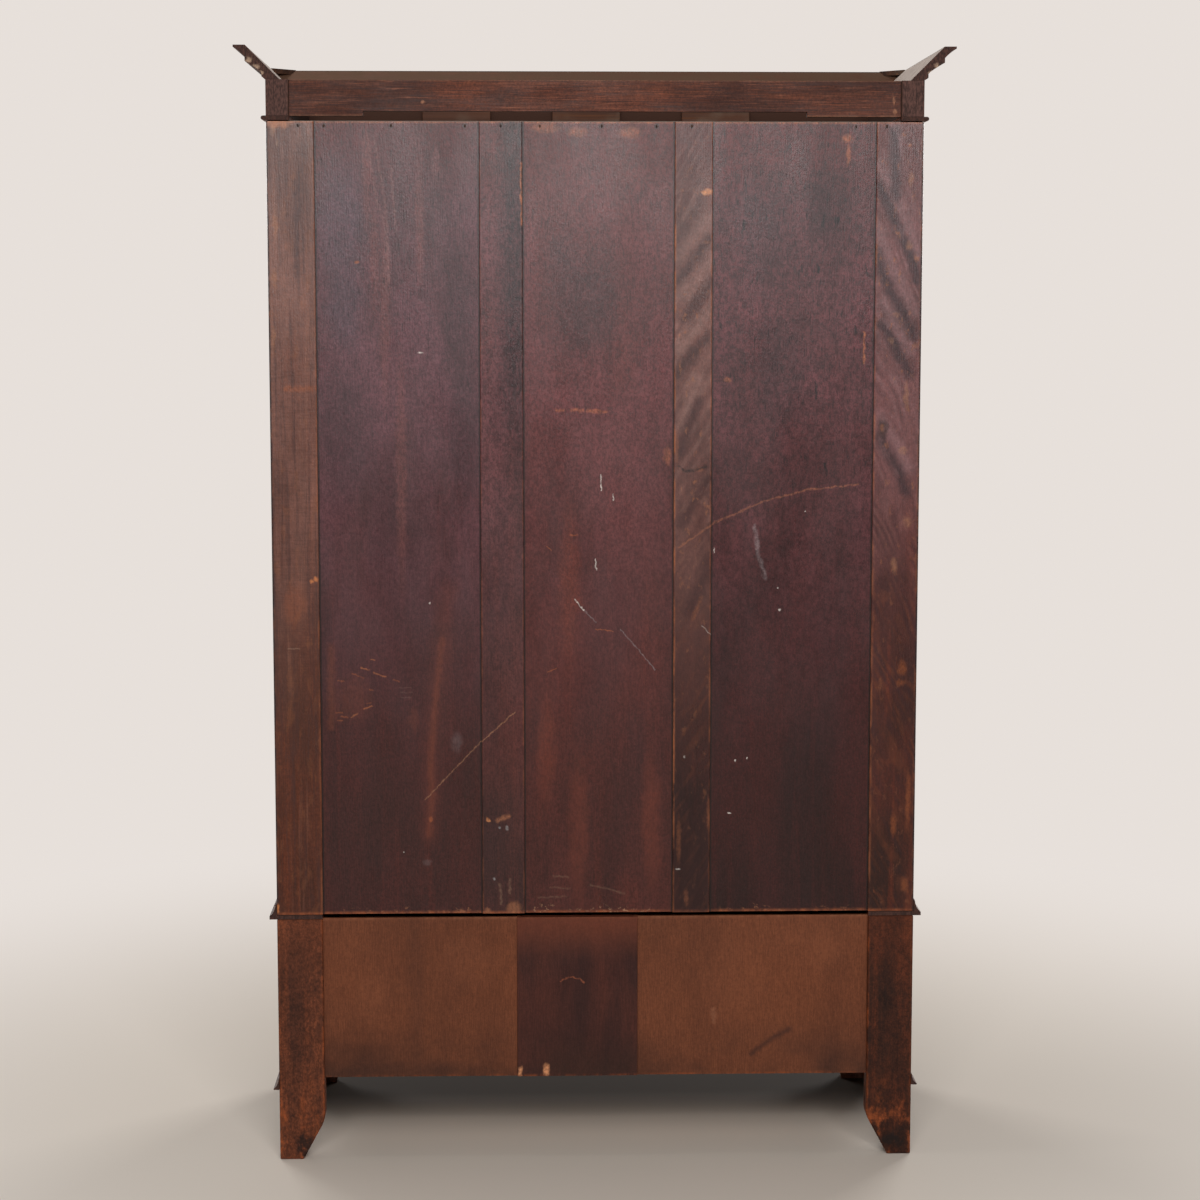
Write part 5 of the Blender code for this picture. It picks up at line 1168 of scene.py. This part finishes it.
def bay_frame_finish(name, shift):
    """Grain up the stiles and across the rails between them, with a fine line at each joint."""
    material, tree = begin(name)
    low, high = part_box(name)
    joints = (low.x + BAY_STILE_WIDTH, high.x - BAY_STILE_WIDTH)
    past_left = calc(tree, "GREATER_THAN", axis(tree, "X"), joints[0])
    on_rail = times(tree, past_left, calc(tree, "LESS_THAN", axis(tree, "X"), joints[1]))
    colour, pore = mahogany_layers(tree, "Z", shift, turned_where(tree, on_rail))
    for joint in joints:
        line = fade(tree, off(tree, "X", joint), JOINT_LINE, 0.0, 0.0, 0.85)
        colour = layer(tree, line, colour, seen(MAHOGANY_PORE))
    polish(tree, colour, pore, shift)
    return material


def flame_panel(name, shift):
    """Crotch-cut veneer: feathers of light and dark that rise and break away from the panel's centre line."""
    material, tree = begin(name)
    low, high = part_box(name)
    aside = off(tree, "X", (low.x + high.x) / 2)
    lift = times(tree, calc(tree, "POWER", aside, FLAME_CURVE), FLAME_RISE)
    place = {0: aside, 2: calc(tree, "SUBTRACT", axis(tree, "Z"), lift)}
    feather = add(tree, "CombineXYZ", place).outputs[0]
    plume = noise(tree, (0.11, 0.11, 0.034), shift, detail=5.0, roughness=0.6, twist=0.35, where=feather)
    colour = layer(tree, fade(tree, plume, 0.32, 0.66), seen(FLAME_DEEP), seen(FLAME_TONE))
    lick = noise(tree, (0.05, 0.05, 0.008), shift + 3.0, detail=4.0, twist=0.4, where=feather)
    colour = layer(tree, fade(tree, lick, 0.50, 0.70, 0.0, 0.6), colour, seen(FLAME_GLOW))
    pore = noise(tree, (0.008, 0.008, 0.0008), shift + 1.0, detail=2.0, where=feather)
    colour = layer(tree, fade(tree, pore, 0.58, 0.66, 0.0, 0.6), colour, seen(MAHOGANY_PORE))
    polish(tree, colour, pore, shift)
    return material


dress("bay_frame_left", bay_frame_finish, 2.2)
dress("bay_frame_right", bay_frame_finish, 6.6)
dress("bay_panel_left", flame_panel, 1.5)
dress("bay_panel_right", flame_panel, 5.5)

# Hanging rail
# Brass tube with a collared flange at each end, screwed to the carcass sides through three slotted screws.
# The brass has browned in clouds and is speckled dark.
BRASS_BRIGHT = (206, 164, 92)
BRASS_DULL = (132, 96, 48)
BRASS_BROWN = (66, 44, 26)
SCREW_RADIUS = 0.0027
SCREW_HEAD = 0.0012
SCREW_TAPER = 0.6
SCREW_RIM = 0.12
SCREW_CROWN = 0.00008
SCREW_SLOT_WIDTH = 0.0008
SCREW_SLOT_DEPTH = 0.0007
SCREW_PROUD = 0.0004
FLANGE_THICKNESS = 0.003
FLANGE_SCREW_RING = 0.0200
FLANGE_SCREWS = 3


def brass(name, shift, tarnish=0.5):
    """Old lacquer-free brass: dull gold, browned in clouds and speckled dark."""
    material, tree = begin(name)
    cloud = noise(tree, (0.022, 0.022, 0.022), shift, detail=5.0, roughness=0.6)
    colour = layer(tree, fade(tree, cloud, 0.30, 0.66), seen(BRASS_DULL), seen(BRASS_BRIGHT))
    speck = noise(tree, (0.0016, 0.0016, 0.0016), shift + 2.0, detail=4.0, roughness=0.7)
    dark = times(tree, fade(tree, speck, 0.50, 0.64), fade(tree, cloud, 0.62, 0.38, 0.15, 1.0))
    colour = layer(tree, times(tree, dark, tarnish), colour, seen(BRASS_BROWN))
    shader = close_finish(tree, colour, fade(tree, cloud, 0.30, 0.70, 0.40, 0.22), speck, 0.00006)
    shader.inputs["Metallic"].default_value = 1.0
    return material


def slotted_screw(radius):
    """Countersunk screw head along +Z with its slot sawn across."""
    bpy.ops.object.select_all(action="DESELECT")
    bpy.ops.mesh.primitive_cylinder_add(vertices=20, radius=radius, depth=SCREW_HEAD)
    head = bpy.context.object
    pick(head, lambda normal: normal.z < -0.9)
    bpy.ops.transform.resize(value=(SCREW_TAPER, SCREW_TAPER, 1.0))
    bpy.ops.mesh.select_all(action="DESELECT")
    bpy.ops.object.mode_set(mode="OBJECT")
    pick(head, lambda normal: normal.z > 0.9)
    bpy.ops.mesh.inset(thickness=SCREW_RIM * radius, depth=SCREW_CROWN)
    bpy.ops.object.mode_set(mode="OBJECT")
    bpy.ops.object.select_all(action="DESELECT")
    bpy.ops.mesh.primitive_cube_add(size=1.0, location=(0.0, 0.0, SCREW_HEAD / 2))
    saw = bpy.context.object
    saw.scale = (3.0 * radius, SCREW_SLOT_WIDTH, 2.0 * SCREW_SLOT_DEPTH)
    bpy.ops.object.transform_apply(location=True, rotation=False, scale=True)
    cut = head.modifiers.new("slot", "BOOLEAN")
    cut.operation = "DIFFERENCE"
    cut.object = saw
    bpy.context.view_layer.objects.active = head
    bpy.ops.object.modifier_apply(modifier="slot")
    bpy.data.objects.remove(saw, do_unlink=True)
    return head


def screw_place(point, outward, spin, proud=SCREW_PROUD):
    """Sets a screw head on a face at a point, standing proud of it, facing outward and turned by an angle."""
    facing = Vector(outward).to_track_quat("Z", "Y").to_matrix().to_4x4()
    sunk = Matrix.Translation((0.0, 0.0, proud - SCREW_HEAD / 2))
    return Matrix.Translation(point) @ facing @ Matrix.Rotation(spin, 4, "Z") @ sunk


dress("hanging_rail", brass, 3.0, 0.7)
rail_low, rail_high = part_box("hanging_rail")
rail_y = (rail_low.y + rail_high.y) / 2
rail_z = (rail_low.z + rail_high.z) / 2
flange_places = []
for hand, end in ((-1, rail_low.x), (1, rail_high.x)):
    for number in range(FLANGE_SCREWS):
        angle = math.pi / 2 + 2 * math.pi * number / FLANGE_SCREWS
        y = rail_y + FLANGE_SCREW_RING * math.cos(angle)
        z = rail_z + FLANGE_SCREW_RING * math.sin(angle)
        point = (end - hand * FLANGE_THICKNESS, y, z)
        flange_places.append(screw_place(point, (-hand, 0, 0), 0.7 * number + hand))
flange_screw = slotted_screw(SCREW_RADIUS)
copies(flange_screw, "rail_screw", flange_places, "case", brass("rail_screw_brass", 4.0, 0.8))

# Cornice
# A frieze on a bead, with a sprung mahogany moulding mitred round three sides. Polished outside; the ends
# sawn flush at the back are dull brown, and the hollow behind the moulding is dusty: grey dust with painted
# light on the sides, brown dust with painted shade at the front.
CORNICE_LOW, CORNICE_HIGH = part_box("cornice_front")
CORNICE_SPRING = 1.0085
CORNICE_FOOT = 0.0245
# Dust on the side returns' inner faces, painted pale for the light and sheen that they catch.
LIT_DUST_GREY = (214, 198, 186)
# Dust on the front's inner face, painted darker for the shade that it lies in.
SHADED_DUST_BROWN = (92, 67, 50)
CORNICE_END = (80, 52, 44)
CORNICE_CHIP = (196, 166, 140)
FRIEZE_DEPTH = 0.040
FRIEZE_SEAM = 0.0145
FRIEZE_END = (94, 64, 57)
FRIEZE_INSIDE = (64, 38, 26)
CORNICE_SCUFFS = [
    (0.608, 1.985, 0.007, 0.006),
    (0.596, 1.973, 0.008, 0.006),
    (0.588, 1.962, 0.005, 0.005),
    (-0.601, 1.978, 0.006, 0.005),
    (-0.590, 1.966, 0.006, 0.004),
]


def sprung_back(tree, hand):
    """Mask of the sloping inner face of one length: hand is -1 or 1 for a side, 0 for the front."""
    if hand:
        out = calc(tree, "SUBTRACT", calc(tree, "ABSOLUTE", axis(tree, "X")), HALF_WIDTH)
    else:
        out = calc(tree, "SUBTRACT", FRONT_Y, axis(tree, "Y"))
    rise = times(tree, calc(tree, "SUBTRACT", axis(tree, "Z"), CORNICE_LOW.z), CORNICE_SPRING)
    proud = calc(tree, "ADD", calc(tree, "SUBTRACT", out, rise), CORNICE_FOOT)
    return fade(tree, proud, 0.0022, 0.0010)


def cornice_finish(name, hand, shift, dust):
    material, tree = begin(name)
    colour, pore = mahogany_layers(tree, "Y" if hand else "X", shift)
    drift = noise(tree, (0.03, 0.03, 0.012), shift, detail=5.0)
    # Dust film, with painted light on the sides and painted shade at the front.
    film = times(tree, sprung_back(tree, hand), fade(tree, drift, 0.25, 0.65, 0.75, 0.98))
    colour = layer(tree, film, colour, seen(dust))
    top = fade(tree, axis(tree, "Z"), CORNICE_HIGH.z - 0.0012, CORNICE_HIGH.z - 0.0004)
    colour = layer(tree, top, colour, seen(SOOT))
    colour, rear = end_wood(tree, colour, CORNICE_END, shift)
    chipped = spots(tree, colour, CORNICE_CHIP, 0.65, *CORNICE_SCUFFS)
    colour = layer(tree, rear, colour, chipped)
    dull = calc(tree, "MAXIMUM", rear, calc(tree, "MAXIMUM", film, top))
    polish(tree, colour, pore, shift, dull)
    return material


def frieze_finish(name, hand, shift):
    """Frieze board with a corner block glued behind its end, so a seam shows in the end grain."""
    material, tree = begin(name)
    colour, pore = mahogany_layers(tree, "Y" if hand else "X", shift)
    colour, rear = end_wood(tree, colour, FRIEZE_END, shift)
    if hand:
        colour = end_seam(tree, colour, HALF_WIDTH - FRIEZE_SEAM, 0.8)
        aside = calc(tree, "ABSOLUTE", axis(tree, "X"))
        inner = HALF_WIDTH - FRIEZE_DEPTH
        within = fade(tree, aside, inner + SKIN, inner)
    else:
        inner = FRONT_Y + FRIEZE_DEPTH
        within = fade(tree, axis(tree, "Y"), inner - SKIN, inner - 0.5 * SKIN)
    colour = layer(tree, within, colour, seen(FRIEZE_INSIDE))
    polish(tree, colour, pore, shift, calc(tree, "MAXIMUM", rear, within))
    return material


dress("frieze_bead", moulding_finish, 9.1)
for side, hand, shift in (("left", -1, 1.8), ("front", 0, 4.6), ("right", 1, 7.9)):
    dress("frieze_" + side, frieze_finish, hand, shift)
    dress("cornice_" + side, cornice_finish, hand, shift + 0.7, LIT_DUST_GREY if hand else SHADED_DUST_BROWN)

# Rail across the back of the cornice
# A plain sawn pine rail set in from the back, its lower edge cut away between two shoulders.
# Coarse open grain runs along it, stained dark, with rubbed patches and a dusty upper edge.
RAIL = {"deep": (74, 36, 23), "tone": (116, 60, 38), "warm": (134, 74, 48), "shift": 6.3}
RAIL_LINE = (54, 29, 24)
RAIL_PALE = (148, 92, 68)
RAIL_MARKS = {
    "smudges": (spots, (48, 28, 24), 0.6, (0.165, 1.925, 0.060, 0.016), (-0.200, 1.905, 0.120, 0.010)),
    "chips": (
        spots, (176, 120, 88), 0.6,
        (-0.527, 1.918, 0.003, 0.010), (-0.529, 1.898, 0.004, 0.007), (0.305, 1.913, 0.005, 0.003),
    ),
}


def back_rail_finish(name, deep, tone, warm, shift):
    material, tree = begin(name)
    colour = stain(tree, "X", deep, tone, warm, shift)[0]
    growth = noise(tree, (0.11, 0.02, 0.0024), shift + 2.0, detail=4.0, roughness=0.6, twist=1.6)
    colour = layer(tree, fade(tree, growth, 0.48, 0.62, 0.0, 0.75), colour, seen(RAIL_LINE))
    colour = layer(tree, fade(tree, growth, 0.44, 0.30, 0.0, 0.55), colour, seen(RAIL_PALE))
    low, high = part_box(name)
    colour = rub(tree, colour, "Z", high.z - 0.003, high.z, (128, 88, 66), shift, 0.6, 0.5)
    colour = rub(tree, colour, "Z", low.z + 0.004, low.z, (140, 96, 72), shift + 3.0, 0.6, 0.4)
    colour = marked(tree, colour, RAIL_MARKS.values())
    colour = weave(tree, colour, 0.18, shift)
    cloud = noise(tree, (0.12, 0.12, 0.04), shift + 8.0, detail=4.0)
    close_finish(tree, colour, fade(tree, cloud, 0.3, 0.7, 0.46, 0.60), growth, 0.0006, SAWN_GLOSS)
    return material


dress("cornice_back_rail", back_rail_finish, **RAIL)

# Glue blocks of the cornice
# Short pine blocks rubbed in with hot glue along the inside of the front frieze, each with a chamfer planed
# on one edge. They show through the gap under the back rail.
BLOCK_PITCH = 0.2495
BLOCK_MIDDLE = 0.0070
BLOCK_LENGTH = 0.130
BLOCK_DEPTH = 0.018
BLOCK_HEIGHT = 0.048
BLOCK_CHAMFER = 0.007
BLOCK_EASE = 0.0008
BLOCK_SEAT = 0.0002
BLOCK_PALE = (92, 57, 40)
BLOCK_DEEP = (70, 42, 29)

frieze_low, frieze_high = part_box("frieze_front")
bpy.ops.object.select_all(action="DESELECT")
bpy.ops.mesh.primitive_cube_add(size=1.0)
block = bpy.context.object
block.scale = (BLOCK_LENGTH, BLOCK_DEPTH, BLOCK_HEIGHT)
bpy.ops.object.transform_apply(location=False, rotation=False, scale=True)
bpy.ops.object.mode_set(mode="EDIT")
bpy.ops.mesh.select_mode(type="EDGE")
bpy.ops.mesh.select_all(action="DESELECT")
bpy.ops.object.mode_set(mode="OBJECT")
for edge in block.data.edges:
    ends = [block.data.vertices[index].co for index in edge.vertices]
    edge.select = all(end.y > 0 and end.z > 0 for end in ends)
bpy.ops.object.mode_set(mode="EDIT")
bpy.ops.mesh.bevel(offset=BLOCK_CHAMFER, segments=1)
bpy.ops.object.mode_set(mode="OBJECT")
ease = block.modifiers.new("sawn_edges", "BEVEL")
ease.width = BLOCK_EASE
ease.segments = 1
bpy.ops.object.modifier_apply(modifier="sawn_edges")
block_y = frieze_high.y + BLOCK_SEAT + BLOCK_DEPTH / 2
block_z = frieze_low.z + BLOCK_HEIGHT / 2
block_x = [BLOCK_MIDDLE + BLOCK_PITCH * step for step in (-1, 0, 1)]
block_places = [Matrix.Translation((x, block_y, block_z)) for x in block_x]
block_pine = pine("glue_block", "X", 3.9, BLOCK_PALE, BLOCK_DEEP)
copies(block, "glue_block", block_places, "case", block_pine)

# Mitre blocks of the cornice
# Two small triangular pine blocks glued into the corners behind the mitred moulding, sawn to its slope
# underneath and left standing a little above its top.
MITRE_BLOCK_LEG = 0.044
MITRE_BLOCK_DEPTH = 0.0090
MITRE_BLOCK_PROUD = 0.0010
MITRE_BLOCK_SEAT = 0.0003
MITRE_BLOCK_PALE = (78, 52, 38)
MITRE_BLOCK_DEEP = (50, 33, 26)
CORNICE_TOP_WIDTH = 0.021

corner_out = CORNICE_HIGH.x - CORNICE_TOP_WIDTH - MITRE_BLOCK_SEAT
corner_y = CORNICE_LOW.y + CORNICE_TOP_WIDTH + MITRE_BLOCK_SEAT
block_top = CORNICE_HIGH.z + MITRE_BLOCK_PROUD
for side, hand in (("left", -1), ("right", 1)):
    bpy.ops.object.select_all(action="DESELECT")
    middle = Vector((hand * (corner_out - MITRE_BLOCK_LEG / 2), corner_y + MITRE_BLOCK_LEG / 2, 0.0))
    middle.z = block_top - MITRE_BLOCK_DEPTH / 2
    bpy.ops.mesh.primitive_cube_add(size=1.0, location=middle)
    wedge = bpy.context.object
    wedge.name = "mitre_block_" + side
    wedge.scale = (MITRE_BLOCK_LEG, MITRE_BLOCK_LEG, MITRE_BLOCK_DEPTH)
    bpy.ops.object.transform_apply(location=True, rotation=False, scale=True)
    corner = Vector((hand * corner_out, corner_y, CORNICE_HIGH.z))
    cuts = [
        (corner + Vector((0.0, MITRE_BLOCK_LEG, 0.0)), (-hand, 1.0, 0.0)),
        (corner, (hand, 0.0, -CORNICE_SPRING)),
        (corner, (0.0, -1.0, -CORNICE_SPRING)),
    ]
    for point, away in cuts:
        bpy.ops.object.mode_set(mode="EDIT")
        bpy.ops.mesh.select_all(action="SELECT")
        bpy.ops.mesh.bisect(plane_co=point, plane_no=away, use_fill=True, clear_outer=True)
        bpy.ops.object.mode_set(mode="OBJECT")
    wedge.data.materials.append(pine(wedge.name, "X", 5.0 + hand, MITRE_BLOCK_PALE, MITRE_BLOCK_DEEP))
    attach(wedge, "case")

# Door frame
# Mortised and tenoned mahogany stiles and rails, rebated behind for the mirror and polished on every face.
# Each has ribbon figure along its own length.
dress("door_stile_left", mahogany, "Z", 3.2)
dress("door_stile_right", mahogany, "Z", 6.9)
dress("door_top_rail", mahogany, "X", 8.4)
dress("door_bottom_rail", mahogany, "X", 1.9)

# Mirror
# Bevelled plate, silvered behind, held in the rebate by a thin pine backboard and framed in front by a small
# mitred moulding. The silvering has foxed in brown freckles along its edges.
FOX_REACH = 0.055
FOX_FULL = 0.015
FOX_BROWN = (74, 56, 40)
SILVER = (226, 229, 228)
SILVER_WORN = (204, 203, 196)
BACKBOARD_PALE = (128, 84, 54)
BACKBOARD_DEEP = (104, 66, 42)


def in_from(tree, letter, low, high):
    """Distance in from the nearer of two ends along one axis."""
    return calc(tree, "SUBTRACT", (high - low) / 2, off(tree, letter, (low + high) / 2))


def mirror_finish(name):
    material, tree = begin(name)
    low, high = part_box(name)
    off_edge = calc(tree, "MINIMUM", in_from(tree, "X", low.x, high.x), in_from(tree, "Z", low.z, high.z))
    rim = fade(tree, off_edge, FOX_REACH, FOX_FULL)
    freckle = noise(tree, (0.006, 0.006, 0.006), 2.0, detail=5.0, roughness=0.7)
    patch = noise(tree, (0.07, 0.07, 0.07), 5.0, detail=3.0)
    eaten = times(tree, fade(tree, freckle, 0.58, 0.66), fade(tree, patch, 0.48, 0.62))
    foxed = times(tree, rim, eaten)
    haze = times(tree, rim, fade(tree, patch, 0.45, 0.65))
    colour = layer(tree, haze, seen(SILVER), seen(SILVER_WORN))
    colour = layer(tree, foxed, colour, seen(FOX_BROWN))
    shader = tree.nodes["Principled BSDF"]
    tree.links.new(colour, shader.inputs["Base Color"])
    tree.links.new(fade(tree, foxed, 0.05, 0.6, 0.0, 0.5), shader.inputs["Roughness"])
    shader.inputs["Metallic"].default_value = 1.0
    return material


def mitred_frame_run(tree, name):
    """Place along a four-sided moulding: up its sides, across its top and bottom, changing at the mitres."""
    low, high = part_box(name)
    off_side = in_from(tree, "X", low.x, high.x)
    off_end = in_from(tree, "Z", low.z, high.z)
    return turned_where(tree, calc(tree, "LESS_THAN", off_end, off_side))


dress("mirror_glass", mirror_finish)
dress("mirror_backboard", pine, "Z", 7.1, BACKBOARD_PALE, BACKBOARD_DEEP)
dress("mirror_moulding", mahogany, "Z", 4.3, mitred_frame_run)

# Hinges
# Pair of pressed brass butts let into the door's edge and the bay, each leaf held by three flush iron screws
# that only show when the door stands open.
HINGE_SCREW_RADIUS = 0.0024
HINGE_SCREW_PITCH = 0.0245
HINGE_SCREW_INSET = 0.0095
HINGE_SCREW_PROUD = 0.00003
LEAF_FROM_PIN = 0.00015

hinge_screw_iron = iron("hinge_screw_iron", 4.0)
for leaf, body, hand in (("door", "door", 1), ("post", "case", -1)):
    hinge_places = []
    for level, shift in (("lower", 2.0), ("upper", 6.0)):
        name = f"hinge_{leaf}_leaf_{level}"
        dress(name, brass, shift, 0.6)
        low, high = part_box(name)
        middle = (low + high) / 2
        face_x = middle.x + hand * LEAF_FROM_PIN
        for step in (-1, 0, 1):
            point = (face_x, FRONT_Y + HINGE_SCREW_INSET, middle.z + step * HINGE_SCREW_PITCH)
            hinge_places.append(screw_place(point, (-hand, 0, 0), shift + 1.3 * step, HINGE_SCREW_PROUD))
    hinge_screw = slotted_screw(HINGE_SCREW_RADIUS)
    copies(hinge_screw, f"hinge_{leaf}_screw", hinge_places, body, hinge_screw_iron)

# Lock, key and door handle
# Mortised brass lock with a brass bolt, an iron key with a ring bow, and a long brass plate pierced for the
# key under a turned knob that hands have kept bright. Two small screws hold the plate, two the lock's edge.
PLATE_THICKNESS = 0.0018
PLATE_SCREW_RADIUS = 0.0019
PLATE_SCREW_ASIDE = 0.0115
PLATE_SCREW_RISE = 0.0240
LOCK_SCREW_RADIUS = 0.0024
LOCK_SCREW_LOW = 0.0060
LOCK_SCREW_HIGH = 0.0030

dress("lock_case", brass, 8.0, 0.6)
dress("lock_bolt", brass, 1.0, 0.3)
dress("door_key", iron, 3.0)
dress("door_handle", brass, 5.0, 0.45)
lock_low, lock_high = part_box("lock_case")
lock_middle = (lock_low + lock_high) / 2
plate_low, plate_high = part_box("door_handle")
plate_places = []
for hand in (-1, 1):
    plate_x = (plate_low.x + plate_high.x) / 2 + hand * PLATE_SCREW_ASIDE
    point = (plate_x, plate_high.y - PLATE_THICKNESS, lock_middle.z + PLATE_SCREW_RISE)
    plate_places.append(screw_place(point, (0, -1, 0), 1.2 + 0.7 * hand))
plate_screw = slotted_screw(PLATE_SCREW_RADIUS)
copies(plate_screw, "handle_screw", plate_places, "door", brass("handle_screw_brass", 2.5, 0.7))
lock_places = []
for z, spin in ((lock_low.z + LOCK_SCREW_LOW, 0.3), (lock_high.z - LOCK_SCREW_HIGH, 2.2)):
    lock_places.append(screw_place((lock_high.x, lock_middle.y, z), (1, 0, 0), spin))
lock_screw = slotted_screw(LOCK_SCREW_RADIUS)
copies(lock_screw, "lock_screw", lock_places, "door", brass("lock_screw_brass", 3.5, 0.7))

# Drawer
# Mahogany front with ribbon figure over a pine box: sides, a lower back, and a thin bottom slid in from
# behind. The pine was never finished and has gone honey-brown.
BOTTOM_PALE = (188, 146, 98)
BOTTOM_DEEP = (146, 98, 58)

dress("drawer_front", mahogany, "X", 9.7)
dress("drawer_side_left", pine, "Y", 2.1)
dress("drawer_side_right", pine, "Y", 5.3)
dress("drawer_back", pine, "X", 7.7)
dress("drawer_bottom", pine, "X", 9.2, BOTTOM_PALE, BOTTOM_DEEP)

# Drawer handles
# Oval stamped brass plates with drilled ears, and a cast bail swinging in each pair.
# The bails are brighter than the plates, where fingers have kept them clean.
for side, shift in (("left", 1.6), ("right", 4.7)):
    dress("handle_plate_" + side, brass, shift, 0.6)
    dress("handle_bail_" + side, brass, shift + 2.0, 0.4)
